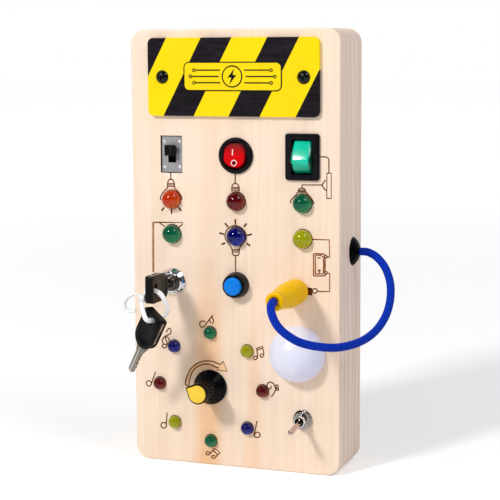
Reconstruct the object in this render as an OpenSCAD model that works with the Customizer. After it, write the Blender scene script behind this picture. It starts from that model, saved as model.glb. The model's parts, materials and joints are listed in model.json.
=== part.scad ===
// Wooden busy board: a milled pine body with switches, lamps, a key lock, a
// plug on a captive cord, a dial and a battery compartment behind.
// Millimetres. The origin is the centre of the body's bottom face, +Z is up
// and the front face looks along -Y.

/* [Wooden body] */
// Width of the body
body_w = 150; // [146:1:170]
// Depth of the body, front to back
body_d = 50; // [49:1:60]
// Height of the body
body_h = 300; // [296:1:330]
// Radius of the four corners, seen from the front
corner_r = 10; // [6:0.5:12]
// Radius that eases the front and back edges
edge_r = 1.5; // [0.5:0.1:2]
// Thickness of the front wall
front_t = 8; // [7.5:0.5:9]
// Width of the side walls
rim_t = 12; // [11:0.5:14]
// Thickness of the plywood back cover
cover_t = 4; // [3.5:0.5:5]
// Width of the ledge under the edge of the back cover
ledge_w = 6; // [5.5:0.5:7]
// Gap around the back cover
cover_gap = 0.3; // [0.1:0.1:0.6]

/* [Layout] */
// Distance from the left side to the left column of parts
left_in = 29.5; // [27:0.1:31]
// Distance from the right side to the right column of parts
right_in = 26.1; // [25:0.1:28]
// Distance from the top of the body to the row of switches
switch_drop = 84.5; // [83:0.5:88]
// Distance from the row of switches to the upper row of lamps
lamp_drop = 30.8; // [29.5:0.1:33]
// Distance from the upper to the lower row of lamps
lamp_pitch = 23.8; // [21:0.1:26]
// Distance from the lower row of lamps to the key lock and push button
button_drop = 33.3; // [30:0.1:35]
// Height of the key lock and push button above the bottom
button_rise = 127.6; // [126:0.1:130]
// Height of the dial's centre above the bottom
dial_rise = 55.4; // [52:0.1:58]
// Distance from the middle column back to the dial's centre
dial_in = 19.7; // [18:0.1:22]
// Distance from the right column in to the jack and the dome lamp
jack_in = 3.7; // [2:0.1:6]
// Height of the jack above the bottom
jack_rise = 125.8; // [124:0.1:127]
// Height of the dome lamp above the bottom
dome_rise = 82.8; // [80:0.1:85]
// Height of the toggle switch above the bottom
toggle_rise = 37.6; // [35:0.1:40]

/* [Sign plate] */
// Width of the sign plate
sign_w = 122; // [112:1:130]
// Height of the sign plate
sign_h = 52.4; // [46:0.2:56]
// Thickness of the sign plate
sign_t = 3; // [2:0.5:4]
// Corner radius of the sign plate
sign_r = 4; // [2:0.5:6]
// Gap between the top of the body and the sign plate
sign_drop = 5.8; // [4:0.2:8]
// Distance of each sign screw from the sign's end
sign_screw_in = 10.6; // [9:0.1:14]

/* [Lamps] */
// Radius of a large lamp's lens
lamp_r = 6.1; // [5:0.1:6.5]
// Radius of a small lamp's lens
note_lamp_r = 4.1; // [3:0.1:5]
// Radius of the ring of small lamps
lamp_ring_r = 38.1; // [36:0.1:39]
// Radius of the white dome
dome_r = 19.3; // [17:0.1:20]
// Wall of the white dome
dome_wall = 1.6; // [1.2:0.1:2.5]

/* [Slide switch] */
// Width of the steel frame
slide_w = 15; // [14:0.1:16]
// Height of the steel frame
slide_h = 24.6; // [24:0.1:26]
// Length of the slot that the handle runs in
slide_slot = 11.4; // [10.5:0.1:12]
// Width of the handle's stem
slide_stem_w = 5.2; // [4:0.1:5.6]
// Height of the handle's stem
slide_stem_h = 5; // [4:0.1:6]
// Reach of the handle in front of the panel
slide_reach = 6; // [5:0.1:8]

/* [Rocker switches] */
// Radius of the round rocker's bezel
round_bezel_r = 12.2; // [11.8:0.1:13]
// Radius of the round rocker's body
round_body_r = 10.6; // [10.5:0.1:11]
// Width of the round rocker's button
round_button_w = 15.8; // [14:0.1:16]
// Width of the big rocker's bezel
big_bezel_w = 23.6; // [23.2:0.1:25]
// Height of the big rocker's bezel
big_bezel_h = 31; // [30.6:0.1:33]
// Width of the big rocker's paddle
big_paddle_w = 13.8; // [13:0.1:16]
// Angle between a rocker's two positions
rocker_swing = 20; // [14:1:22]
// Radius of a rocker's trunnion pins
trunnion_r = 1.2; // [1:0.1:1.4]

/* [Push button] */
// Radius of the push button's bezel at the panel
push_bezel_r = 9; // [8.6:0.1:10]
// Height of the push button's bezel
push_bezel_h = 7.6; // [7:0.1:9]
// Radius of the push button's cap
push_cap_r = 6.1; // [5.5:0.1:6.3]
// Travel of the push button
push_travel = 2.6; // [2:0.1:2.8]

/* [Key lock] */
// Radius of the lock's flange
lock_flange_r = 9.7; // [9.2:0.1:11]
// Radius of the lock's barrel
lock_barrel_r = 7.8; // [7.4:0.1:8.2]
// Radius of the turning plug
rotor_r = 5.6; // [5.2:0.1:5.8]
// Reach of the turning plug in front of the panel
rotor_reach = 8; // [7:0.1:9]
// Width of the key's blade
key_blade_w = 5.2; // [4.6:0.1:5.6]
// Thickness of the key's blade
key_blade_t = 2; // [1.6:0.1:2.2]
// Length of the key's blade
key_blade_len = 16; // [14:0.5:17]
// Width of the key's head
key_head_w = 18.5; // [17:0.1:19]
// Length of the key's head
key_head_len = 27; // [26:0.5:29]
// Thickness of the key's head
key_head_t = 5.4; // [4.6:0.1:5.6]

/* [Plug and cord] */
// Largest radius of the plug's shell
plug_r = 8.4; // [7.6:0.1:9]
// Length of the plug's shell
plug_len = 47; // [44:0.5:48]
// Radius of the plug's pin
pin_r = 1.75; // [1.5:0.05:2]
// Length of the plug's pin
pin_len = 14; // [12:0.5:16]
// Radius of the braided cord
cord_r = 2.7; // [2.4:0.1:3]
// Radius of the cord grommet on the side
grommet_r = 9.8; // [9:0.1:11]
// Height of the cord grommet's dome
grommet_h = 5; // [4:0.1:6]

/* [Dial] */
// Radius of the knob's skirt
skirt_r = 12; // [11:0.1:13]
// Radius of the knob's body
knob_r = 7; // [6.6:0.1:7.6]
// Height of the knob above the panel
knob_h = 25.5; // [23:0.5:28]
// Reach of the knob's pointer from its centre
pointer_reach = 9.5; // [8.5:0.1:10.5]
// Direction of the pointer at rest, anticlockwise from straight up
pointer_rest = 65; // [0:1:85]
// Radius of the dial's shaft
shaft_r = 3; // [2.6:0.1:3.2]

/* [Toggle switch] */
// Radius of the toggle's bushing
bushing_r = 3.7; // [3.5:0.1:4]
// Reach of the toggle's bushing
bushing_len = 8.5; // [7:0.1:10]
// Radius of the toggle's lever
lever_r = 1.9; // [1.5:0.05:2]
// Reach of the lever in front of the panel
lever_reach = 28; // [24:0.5:30]
// Angle between the lever's two positions
lever_swing = 14; // [10:1:18]

/* [Battery compartment] */
// Radius of a battery cell
cell_r = 7.2; // [7:0.05:7.3]
// Length of a battery cell
cell_len = 50.2; // [49.5:0.1:50.5]
// Number of battery cells
cells = 3; // [2:1:3]
// Height of the compartment's centre above the bottom
battery_rise = 92; // [85:1:100]
// Wall of the compartment
battery_wall = 1.6; // [1.2:0.1:2]

/* [Hidden] */
$fn = 64;

over = 1;            // overrun of a cut past a face
fit = 0.3;           // play around a part set in the wood
run = 0.05;          // radial running fit of pins and shafts
clear = 0.3;         // gap between surfaces that move past each other

// Columns and rows of the front panel. The rows spread with the body's height
layout_h = switch_drop + lamp_drop + lamp_pitch + button_drop + button_rise;
spread = body_h / layout_h;
col_l = left_in - body_w / 2;
col_r = body_w / 2 - right_in;
col_m = (col_l + col_r) / 2;
row_switch = body_h - switch_drop * spread;
row_lamp_1 = row_switch - lamp_drop * spread;
row_lamp_2 = row_lamp_1 - lamp_pitch * spread;
row_button = row_lamp_2 - button_drop * spread;
dial_x = col_m - dial_in;
dial_z = dial_rise * spread;
jack_x = col_r - jack_in;
jack_z = jack_rise * spread;
dome_z = dome_rise * spread;
toggle_z = toggle_rise * spread;
battery_z = battery_rise * spread;
sign_z = body_h - sign_drop - sign_h / 2;
sign_screw_x = sign_w / 2 - sign_screw_in;

// Pocket behind the front wall, and the cover that closes it
pocket_w = body_w - 2 * rim_t;
pocket_h = body_h - 2 * rim_t;
pocket_r = 6;
cover_w = pocket_w + 2 * ledge_w;
cover_h = pocket_h + 2 * ledge_w;
cover_r = 5;
back_screw_in = ledge_w - 2;      // from the cover's edge to its screws
back_screw_r = 1.3;
back_screw_len = 14;

// Fasteners
pan_r = 4.6;
pan_h = 3;
pan_shank_r = 1.6;
pan_shank_len = 9;

// Lamps behind the wall
lamp_flange = 0.7;                // the flange's overhang round the lens
lamp_flange_t = 1.4;
note_lead = 6;                    // leads of the small lamps

// Slide switch
slide_recess = 2;
slide_sheet = 0.8;
slide_recess_w = slide_w + 1;
slide_recess_h = slide_h + 0.9;
slide_window_w = slide_w - 3;
slide_window_h = slide_h - 5;
slide_deep = 9;
slide_travel = slide_slot - slide_stem_h - 2 * clear;
slide_head_w = 7.5;
slide_head_h = 7.4;

// Rockers
round_bezel_t = 2.2;
round_deep = 15;
round_button_r = round_body_r - 1.4;
round_face = 2.6;
round_pivot = -2.5;
big_bezel_t = 2.4;
big_deep = 18;
big_body_w = big_bezel_w - 2;
big_body_h = big_bezel_h - 3;
big_face = 6.2;
big_pivot = -3;
big_paddle_r = big_body_h / 2 - 2.7;
big_slope = 18;

// Push button
push_barrel_r = 6.9;
push_barrel_len = front_t + 6;
push_floor = 1.2;
push_rim_r = push_bezel_r - 1.5;
push_cap_top = push_bezel_h + 2.2;
push_cap_base = push_floor + push_travel + clear;
plunger_r = 2.5;
plunger_len = 8;

// Key lock and keys
lock_bezel_h = 4.2;
lock_barrel_len = front_t + 14;
lock_tab = [3, 0.8, 6];           // solder tab: width, thickness, length
lock_tab_y = 3.4;
rotor_back = lock_barrel_len - 4;
rotor_nose_r = rotor_r - 1.2;
key_seat = rotor_reach + 0.2;
key_shoulder = 5.5;
key_hole_in = 5;
key_hole_w = 8;
key_hole_h = 4.8;
key_hole_z = key_shoulder + key_head_len - key_hole_in;
key_plate_top = key_shoulder + key_head_len - 1.6;
tang_narrow = 10.5;      // where the blade's tang widens into the head's plate
tang_full = 14.5;        // where the plate has its full width
key_hole_at = [col_l, -body_d / 2 - key_seat - key_hole_z, row_button];
spare_hole = key_hole_at + [2.9, -3.9, -20];   // centre of the spare key's hole
spare_turn = [-30, -3, -114];                  // how the spare key hangs

// Strap through the heads of the two keys, and its loose tail
tie_r = 1.6;
tie_sides = 8;
tie_steps = 3;
// Their points are given from the centre of the hole in the key that sits in the lock
tie_route = [for (p = [
        [-5.7, -1.1, -5.2], [-5.3, -0.5, -3.2], [-3.3, -0.1, -1.4], [0, 0, -0.7], [3.5, 0, -1.3],
        [6.6, 0, -3.2], [8.5, 0.3, -6.2], [9.9, 1.9, -10.2], [9.8, 3.1, -14.8], [7.5, 2.9, -18.7],
        [4.7, 0.1, -20], [2.9, -3.9, -20], [1.1, -7.9, -20], [-0.7, -9.2, -18.4], [-3.1, -7.5, -14.8],
        [-5.3, -5.1, -10.8], [-5.9, -2.9, -7.2]])
    key_hole_at + p];
tail_route = [for (p = [
        [-7.1, -1.9, -5], [-11.9, -2.3, -3.8], [-16.7, -2.3, -6.2], [-19.3, -2.3, -10.4],
        [-18.3, -2.3, -14.2], [-14.8, -2.3, -15.4], [-11.1, -1.9, -14.4]])
    key_hole_at + p];
clasp = [3.6, 4.6, 4.6];
clasp_at = key_hole_at + [-5.9, -1.9, -6];

// Jack, plug and cord
jack_flange_r = 5.6;
jack_flange_t = 1;
jack_body_r = 4.6;
jack_body_len = front_t + 12;
jack_nut_r = 7.5;
plug_base = jack_flange_t + clear;
plug_front = plug_base + plug_len;
grommet_y = 5;
grommet_z = body_h / 2;
cord_sides = 10;
cord_steps = 3;
plug_end = [jack_x, -body_d / 2 - plug_front, jack_z];
cord_exit = [body_w / 2 + grommet_h, grommet_y, grommet_z];
cord_near = [
        [0, 0, 0], [0, -1.5, 0], [0.15, -4.5, -0.3], [0.8, -8, -1.9], [2.2, -10.9, -5],
        [4.4, -12.4, -9.1], [7.6, -12.5, -13.8], [13, -10.6, -19], [20.4, -6.2, -24],
        [30.8, 1.2, -27.4], [41.2, 11.3, -28.8]];
cord_far = [
        [15, -51, -51.8], [20.4, -35, -47.6], [23.6, -21.5, -40], [24, -10.8, -30.5],
        [22.2, -4, -20.2], [17.9, -0.8, -10.6], [11.9, 0.1, -3.7], [5.6, 0, -0.3], [0, 0, 0]];
cord_route = concat([for (p = cord_near) plug_end + p], [for (p = cord_far) cord_exit + p]);

// Dial
nut_t = 2.2;
dial_nut_r = 6;
dial_bush_r = 4.4;
dial_pot_r = 8.5;
dial_pot_t = 9;
skirt_base = 0.6;
skirt_t = 1.6;
skirt_hollow_r = 9.4;
skirt_hollow_h = nut_t + 1.6;
flutes = 20;
flute_r = 0.7;
pointer_t = 2.2;
shaft_top = knob_h - pointer_t - 4;

// Toggle
toggle_nut_r = 6.4;
toggle_nut_t = 2.6;
toggle_body = [13, 8, 11];
bush_bore_r = bushing_r - 0.6;
lever_pivot = 4;
lever_ball_r = bush_bore_r - run;

// Dome lamp
dome_neck_r = 12;
dome_neck_len = 5;
dome_lip = 1;
dome_floor_t = 3.6;
bulb_foot_r = 4;
bulb_foot_h = 2;
bulb_r = 2.5;

// Circuit board behind the large lamps
board_w = pocket_w - 14;
board_h = 40;
board_t = 1.6;
board_gap = 14;
board_z = (row_lamp_1 + row_lamp_2) / 2;
standoff_r = 2.6;
standoff_pin_r = 1.3;
standoff_pin_len = 2;
board_hole_in = 30;
board_hole_x = board_w / 2 - board_hole_in;
board_hole_y = board_h / 2 - 4;
chip = [10, 14, 1.8];
chip_at = [-12, 0];
regulator = [6, 6, 1.6];
regulator_at = [14, 4];
capacitor_r = 3;
capacitor_h = 6;
capacitor_at = [14, -9];

// Battery compartment, with its mouth in the back cover
cell_pitch = 2 * cell_r + 0.8;
battery_in_w = cell_len + 6;
battery_in_h = cells * cell_pitch + 0.4;
battery_in_d = 2 * cell_r + 0.6;
battery_lip = 3;
spring_r = 4.4;                   // wide end of a cell's cone spring
contact_t = 0.4;                  // plate behind the spring
contact_w = 9.2;
contact_h = 6;                    // pressed plate at the button end
door_t = 1.6;
battery_flange = 1.2;
door_w = battery_in_w + 10;
door_h = battery_in_h;
door_gap = 0.4;
door_screw_x = battery_in_w / 2 + 2.4;
battery_face = -body_d;           // the cover's outer face, in the panel's own frame

// Places a piece on the front panel: x across, y up, z straight out of the wood
module on_panel(x, z) {
    translate([x, -body_d / 2, z]) rotate([90, 0, 0]) children();
}

module rounded_rect(w, h, r) {
    square([w - 2 * r, h], center = true);
    square([w, h - 2 * r], center = true);
    for (x = [-1, 1], y = [-1, 1])
        translate([x * (w / 2 - r), y * (h / 2 - r)]) circle(r);
}

module rounded_block(w, h, r, z0, z1) {
    translate([0, 0, z0]) linear_extrude(z1 - z0) rounded_rect(w, h, r);
}

module box(w, h, z0, z1) {
    translate([-w / 2, -h / 2, z0]) cube([w, h, z1 - z0]);
}

module disc(r, z0, z1) {
    translate([0, 0, z0]) cylinder(r = r, h = z1 - z0);
}

// Cutter that eases the edge of a rounded block whose face is at z = 0
module edge_cutter(w, h, r, e) {
    module corner_profile() {
        difference() {
            translate([-e, -e]) square([e + over, e + over]);
            translate([-e, -e]) circle(e);
        }
    }
    for (q = [0 : 3]) let (across = q % 2 == 0 ? w : h, along = q % 2 == 0 ? h : w)
        rotate(90 * q) translate([across / 2, along / 2 - r, 0]) rotate([90, 0, 0])
            linear_extrude(along - 2 * r) corner_profile();
    for (q = [0 : 3]) let (sx = (q == 0 || q == 3) ? 1 : -1, sy = q < 2 ? 1 : -1)
        translate([sx * (w / 2 - r), sy * (h / 2 - r), 0]) rotate(90 * q)
            rotate_extrude(angle = 90) translate([r, 0]) corner_profile();
}

// ---- Wooden body

module panel_holes() {
    module hole(x, z, r) translate([x, z - body_h / 2, 0]) disc(r, -front_t - over, over);
    module window(x, z, w, h) translate([x, z - body_h / 2, 0]) box(w, h, -front_t - over, over);
    for (s = [-1, 1]) hole(s * sign_screw_x, sign_z, pan_shank_r);
    window(col_l, row_switch, slide_window_w, slide_window_h);
    translate([col_l, row_switch - body_h / 2, 0])
        box(slide_recess_w, slide_recess_h, -slide_recess, over);
    hole(col_m, row_switch, round_body_r + fit);
    window(col_r, row_switch, big_body_w + 2 * fit, big_body_h + 2 * fit);
    for (x = [col_l, col_m, col_r], z = [row_lamp_1, row_lamp_2]) hole(x, z, lamp_r + run);
    for (k = [0 : 7]) let (x = dial_x + lamp_ring_r * sin(45 * k), z = dial_z + lamp_ring_r * cos(45 * k)) {
        hole(x, z, note_lamp_r + run);
        // Room for the flange and leads where a small lamp comes near the rim
        translate([x, z - body_h / 2, 0])
            disc(note_lamp_r + lamp_flange + fit, -front_t - lamp_flange_t - note_lead - clear, -front_t);
    }
    hole(col_l, row_button, lock_barrel_r + fit);
    hole(col_m, row_button, push_barrel_r + fit);
    hole(jack_x, jack_z, jack_body_r + fit);
    hole(jack_x, dome_z, dome_neck_r + fit);
    hole(dial_x, dial_z, dial_bush_r + fit);
    hole(col_r, toggle_z, bushing_r + fit);
}

module back_screw_places() {
    for (x = [-1, 1], k = [-1 : 2 : 1])
        translate([x * (cover_w / 2 - back_screw_in), k * (cover_h / 2 - back_screw_in)]) children();
    for (x = [-1, 1]) translate([x * (cover_w / 2 - back_screw_in), 0]) children();
    for (y = [-1, 1]) translate([0, y * (cover_h / 2 - back_screw_in)]) children();
}

module wood_body() {
    color("#f1d9b8") on_panel(0, body_h / 2) difference() {
        rounded_block(body_w, body_h, corner_r, -body_d, 0);
        rounded_block(pocket_w, pocket_h, pocket_r, -body_d - over, -front_t);
        rounded_block(cover_w + 2 * cover_gap, cover_h + 2 * cover_gap, cover_r + cover_gap,
            -body_d - over, -body_d + cover_t);
        edge_cutter(body_w, body_h, corner_r, edge_r);
        translate([0, 0, -body_d]) mirror([0, 0, 1]) edge_cutter(body_w, body_h, corner_r, edge_r);
        panel_holes();
        back_screw_places() disc(back_screw_r, -body_d, -body_d + back_screw_len + over);
        // Cord passage through the right side wall
        translate([body_w / 2 - rim_t - over, grommet_z - body_h / 2, -body_d / 2 - grommet_y])
            rotate([0, 90, 0]) cylinder(r = cord_r + 1.6 + fit, h = rim_t + 2 * over);
    }
}

// ---- Back cover and its screws

module back_cover() {
    color("#e3c193") on_panel(0, body_h / 2) difference() {
        rounded_block(cover_w, cover_h, cover_r, -body_d, -body_d + cover_t);
        back_screw_places() {
            disc(back_screw_r + run, -body_d - over, -body_d + cover_t + over);
            translate([0, 0, -body_d]) screw_cone(run);
        }
        translate([0, battery_z - body_h / 2, 0])
            box(battery_in_w + 2 * battery_wall + fit, battery_in_h + 2 * battery_wall + fit,
                -body_d - over, -body_d + cover_t + over);
        translate([0, battery_z - body_h / 2, 0])
            box(door_w + 2 * battery_lip + fit, door_h + 2 * battery_lip + fit,
                -body_d - over, -body_d + door_t + battery_flange);
    }
}

// Countersunk head with its face at z = 0, pointing into the wood
module screw_cone(gap) {
    rotate_extrude() polygon([[0, -gap], [2 * back_screw_r + gap, -gap], [2 * back_screw_r + gap, 0.3],
        [back_screw_r + gap, back_screw_r + 0.3], [0, back_screw_r + 0.3]]);
}

module back_screws() {
    color("#b9bcc0") on_panel(0, body_h / 2) back_screw_places() translate([0, 0, -body_d])
        difference() {
            union() {
                screw_cone(0);
                disc(back_screw_r, 0, back_screw_len);
            }
            cross_recess(2 * back_screw_r, 1.2);
        }
}

// Cross recess cut into a head whose face is at z = 0 and points down
module cross_recess(span, depth) {
    for (a = [0, 90]) rotate(a) box(span, span / 4, -over, depth);
}

// ---- Battery compartment

module on_battery() {
    on_panel(0, battery_z) children();
}

battery_floor = battery_face + door_t + clear + battery_in_d;

module battery_box() {
    color("#1c1c1e") on_battery() difference() {
        union() {
            box(battery_in_w + 2 * battery_wall, battery_in_h + 2 * battery_wall,
                battery_face + door_t, battery_floor + battery_wall);
            box(door_w + 2 * battery_lip, door_h + 2 * battery_lip,
                battery_face + door_t, battery_face + door_t + battery_flange);
        }
        box(battery_in_w, battery_in_h, battery_face, battery_floor);
        translate([door_screw_x, 0, 0])
            disc(back_screw_r + run, battery_face, battery_face + door_t + battery_flange);
    }
}

module battery_cells() {
    for (k = [0 : cells - 1])
        color(k % 2 == 0 ? "#2f6f4f" : "#3a3f46") on_battery() cell_place(k) {
            rotate([0, 90, 0]) translate([0, 0, -cell_len / 2]) cylinder(r = cell_r, h = cell_len - 1);
            rotate([0, 90, 0]) translate([0, 0, cell_len / 2 - 1]) cylinder(r = 2.6, h = 1);
        }
}

// Cell k lies along x, its button end to the right on even cells and to the left on odd ones
module cell_place(k) {
    translate([0, (k - (cells - 1) / 2) * cell_pitch, battery_floor - cell_r - 0.1])
        rotate([0, 0, k % 2 == 0 ? 0 : 180]) children();
}

module battery_contacts() {
    spring_x = -cell_len / 2 - 0.1;
    plate_x = cell_len / 2 + 0.1;
    color("#d8d8d8") on_battery() for (k = [0 : cells - 1]) cell_place(k) {
        // Cone spring at the flat end
        translate([spring_x, 0, 0]) rotate([0, -90, 0])
            cylinder(r1 = spring_r / 2, r2 = spring_r, h = battery_in_w / 2 + spring_x - contact_t);
        translate([-battery_in_w / 2, -contact_w / 2, -contact_w / 2])
            cube([contact_t, contact_w, contact_w]);
        // Plate at the button end
        translate([plate_x, -contact_h / 2, -contact_h / 2])
            cube([battery_in_w / 2 - plate_x, contact_h, contact_h]);
    }
}

module battery_door() {
    color("#232325") on_battery() difference() {
        union() {
            box(door_w + 2 * battery_lip - 2 * door_gap, door_h + 2 * battery_lip - 2 * door_gap,
                battery_face, battery_face + door_t - clear);
            // Rib that drops into the compartment's mouth
            for (y = [-1, 1]) translate([0, y * (battery_in_h / 2 - 1.6), 0])
                box(battery_in_w - 8, 1.4, battery_face, battery_face + door_t + 1.2);
        }
        translate([door_screw_x, 0, 0]) disc(back_screw_r + 0.1, battery_face - over, 0);
        translate([door_screw_x, 0, battery_face]) screw_cone(run);
        // Finger grip
        for (k = [-2 : 2]) translate([-door_w / 2 + 6 + 2.4 * k, 0, 0])
            box(1, 14, battery_face - over, battery_face + 0.6);
    }
}

module door_screw() {
    color("#c8c8c8") on_battery() translate([door_screw_x, 0, battery_face]) difference() {
        union() {
            screw_cone(0);
            disc(back_screw_r, 0, door_t + battery_flange - clear);
        }
        cross_recess(2 * back_screw_r, 1.2);
    }
}

// ---- Sign plate

module sign_plate() {
    color("#ffdf1e") on_panel(0, sign_z) difference() {
        rounded_block(sign_w, sign_h, sign_r, 0, sign_t);
        for (s = [-1, 1]) translate([s * sign_screw_x, 0, 0]) disc(pan_shank_r + run, -over, sign_t + over);
    }
}

module sign_screws() {
    pan_dome_r = (pan_r * pan_r + pan_h * pan_h) / (2 * pan_h);
    for (s = [-1, 1]) color("#17171a") on_panel(s * sign_screw_x, sign_z) difference() {
        union() {
            intersection() {
                disc(pan_r, sign_t, sign_t + pan_h);
                translate([0, 0, sign_t + pan_h - pan_dome_r]) sphere(pan_dome_r);
            }
            disc(pan_shank_r, sign_t - pan_shank_len, sign_t);
        }
        for (a = [0, 90]) rotate(a) box(4.4, 1.1, sign_t + pan_h - 1.8, sign_t + pan_h + over);
    }
}

// ---- Slide switch

module slide_switch_frame() {
    back = -slide_recess;
    color("#c3c2c4") on_panel(col_l, row_switch) {
        difference() {
            union() {
                box(slide_w, slide_h, back, back + slide_sheet);
                // Pressed dimples at the four corners
                for (x = [-1, 1], y = [-1, 1])
                    translate([x * (slide_w / 2 - 1.9), y * (slide_h / 2 - 3.6), back + slide_sheet])
                        cylinder(r1 = 1.1, r2 = 0.5, h = 0.45);
                // Folded sides that hold the base
                for (x = [-1, 1]) translate([x * (slide_window_w / 2 - 0.6), 0, 0])
                    box(0.8, slide_window_h - 2, back - slide_deep, back);
            }
            box(slide_stem_w + 2 * clear, slide_slot, back - over, back + slide_sheet + over);
        }
    }
}

module slide_switch_base() {
    top = -slide_recess - slide_deep + 3;
    color("#5a3a22") on_panel(col_l, row_switch) {
        box(slide_window_w - 2.2, slide_window_h - 2.2, top - 3, top);
        for (x = [-1, 1], k = [-1 : 1]) translate([x * 2.2, k * 4.6, 0]) box(0.8, 1.6, top - 7, top - 3);
    }
}

module slide_switch_handle() {
    top = slide_reach;
    under = -slide_recess - clear;
    rise = slide_travel / 2;
    color("#141416") on_panel(col_l, row_switch) translate([0, rise, 0]) difference() {
        union() {
            box(slide_stem_w, slide_stem_h, under - 3, 1.2);
            rounded_block(slide_head_w, slide_head_h, 0.9, 1, top);
            // Shoe that keeps the handle in the frame
            box(slide_window_w - 3, slide_stem_h + 2, under - 3, under);
        }
        // Grip grooves across the face
        for (k = [-1 : 1]) translate([0, 2 * k, 0]) box(slide_head_w + over, 0.7, top - 0.6, top + over);
    }
}

// ---- Rocker switches

module terminals(n, pitch, z0, len) {
    for (k = [0 : n - 1]) translate([0, (k - (n - 1) / 2) * pitch, 0]) box(4.8, 0.8, z0 - len, z0);
}

// Well that the round button rocks in
module round_well(gap, z0, z1) {
    intersection() {
        disc(round_button_r + gap, z0, z1);
        box(round_button_w + 2 * gap, 4 * round_body_r, z0 - over, z1 + over);
    }
}

module round_rocker_housing() {
    color("#151517") on_panel(col_m, row_switch) {
        difference() {
            union() {
                rotate_extrude() polygon([[0, 0], [round_bezel_r, 0], [round_bezel_r, round_bezel_t - 0.9],
                    [round_bezel_r - 0.9, round_bezel_t], [0, round_bezel_t]]);
                disc(round_body_r, -round_deep, 0);
            }
            round_well(0.4, round_pivot - 8, round_bezel_t + over);
            translate([0, 0, round_pivot]) rotate([0, 90, 0])
                cylinder(r = trunnion_r + run, h = round_button_w + 2.4, center = true);
        }
        terminals(3, 5, -round_deep, 8);
    }
}

module round_rocker_button() {
    color("#d4141c") on_panel(col_m, row_switch) translate([0, 0, round_pivot])
        rotate([-rocker_swing / 2, 0, 0]) {
            intersection() {
                disc(round_button_r - 0.5, -4, round_face - round_pivot);
                rotate([0, 90, 0]) cylinder(r = round_button_r, h = round_button_w, center = true);
            }
            rotate([0, 90, 0]) cylinder(r = trunnion_r, h = round_button_w + 1.8, center = true);
        }
}

module big_rocker_housing() {
    well_w = big_paddle_w + 0.8;
    well_h = 2 * big_paddle_r + 0.8;
    color("#151517") on_panel(col_r, row_switch) {
        difference() {
            union() {
                rounded_block(big_bezel_w, big_bezel_h, 2, 0, big_bezel_t - 0.6);
                rounded_block(big_bezel_w - 1, big_bezel_h - 1, 1.6, big_bezel_t - 0.6, big_bezel_t);
                box(big_body_w, big_body_h, -big_deep, 0);
            }
            box(well_w, well_h, big_pivot - big_paddle_r + 2, big_bezel_t + over);
            translate([0, 0, big_pivot]) rotate([0, 90, 0])
                cylinder(r = trunnion_r + run, h = big_paddle_w + 4.2, center = true);
        }
        terminals(2, 12, -big_deep, 8);
    }
}

module big_rocker_paddle() {
    peak = big_face - big_pivot;
    half = big_paddle_r;
    fall = half * tan(big_slope);
    color("#10a06c") on_panel(col_r, row_switch) translate([0, 0, big_pivot])
        rotate([-rocker_swing / 2, 0, 0]) {
            intersection() {
                rotate([0, 90, 0]) cylinder(r = big_paddle_r, h = big_paddle_w, center = true);
                rotate([90, 0, 90]) translate([0, 0, -big_paddle_w / 2]) linear_extrude(big_paddle_w)
                    polygon([[-half, -4], [half, -4], [half, peak - fall], [0, peak], [-half, peak - fall]]);
            }
            rotate([0, 90, 0]) cylinder(r = trunnion_r, h = big_paddle_w + 3.6, center = true);
        }
}

// ---- Lamps

// Round lamp: a domed lens through the wall, a flange behind it and two leads
module lamp(x, z, r, lens, lead_len) {
    flange_t = lamp_flange_t;
    color(lens) on_panel(x, z) {
        rotate_extrude() union() {
            translate([0, -front_t]) square([r, front_t + 0.6]);
            translate([0, -front_t - flange_t]) square([r + lamp_flange, flange_t]);
            intersection() {
                translate([0, 0.6]) circle(r);
                translate([0, 0.6]) square([r, r]);
            }
        }
        for (s = [-1, 1]) translate([s * 1.27, 0, 0])
            box(0.6, 0.6, -front_t - flange_t - lead_len, -front_t - flange_t);
    }
}

module big_lamp(x, z, lens) {
    lamp(x, z, lamp_r, lens, board_gap - lamp_flange_t);
}

module lamp_orange() big_lamp(col_l, row_lamp_1, "#e0661a");
module lamp_green_left() big_lamp(col_l, row_lamp_2, "#0f8a4f");
module lamp_red() big_lamp(col_m, row_lamp_1, "#8e1220");
module lamp_blue() big_lamp(col_m, row_lamp_2, "#12209c");
module lamp_green_right() big_lamp(col_r, row_lamp_1, "#0f8a4f");
module lamp_lime() big_lamp(col_r, row_lamp_2, "#b4c32a");

// Small lamp k of eight on a ring round the dial, clockwise from the top
module note_lamp(k) {
    lens = ["#128a4c", "#a9bb2b", "#8e1220", "#163a9c"][[0, 1, 2, 3, 0, 1, 2, 3][k]];
    lamp(dial_x + lamp_ring_r * sin(45 * k), dial_z + lamp_ring_r * cos(45 * k), note_lamp_r, lens,
        note_lead);
}

module dome_cover() {
    color("#f4f4fb") on_panel(jack_x, dome_z) rotate_extrude() difference() {
        union() {
            intersection() {
                circle(dome_r);
                square([dome_r, dome_r]);
            }
            translate([0, -dome_neck_len]) square([dome_neck_r, dome_neck_len]);
        }
        intersection() {
            circle(dome_r - dome_wall);
            translate([0, dome_lip]) square([dome_r, dome_r]);
        }
        translate([0, -dome_neck_len - over])
            square([dome_neck_r - dome_wall, dome_neck_len + 2 * over + dome_lip]);
    }
}

module dome_base() {
    color("#e8e8e0") on_panel(jack_x, dome_z) {
        floor_z = -dome_neck_len + 2;
        disc(dome_neck_r - dome_wall - 0.1, floor_z - dome_floor_t, floor_z);
        disc(bulb_foot_r, floor_z, floor_z + bulb_foot_h);
        translate([0, 0, floor_z + bulb_foot_h]) sphere(bulb_r);
    }
}

// ---- Push button

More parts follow.
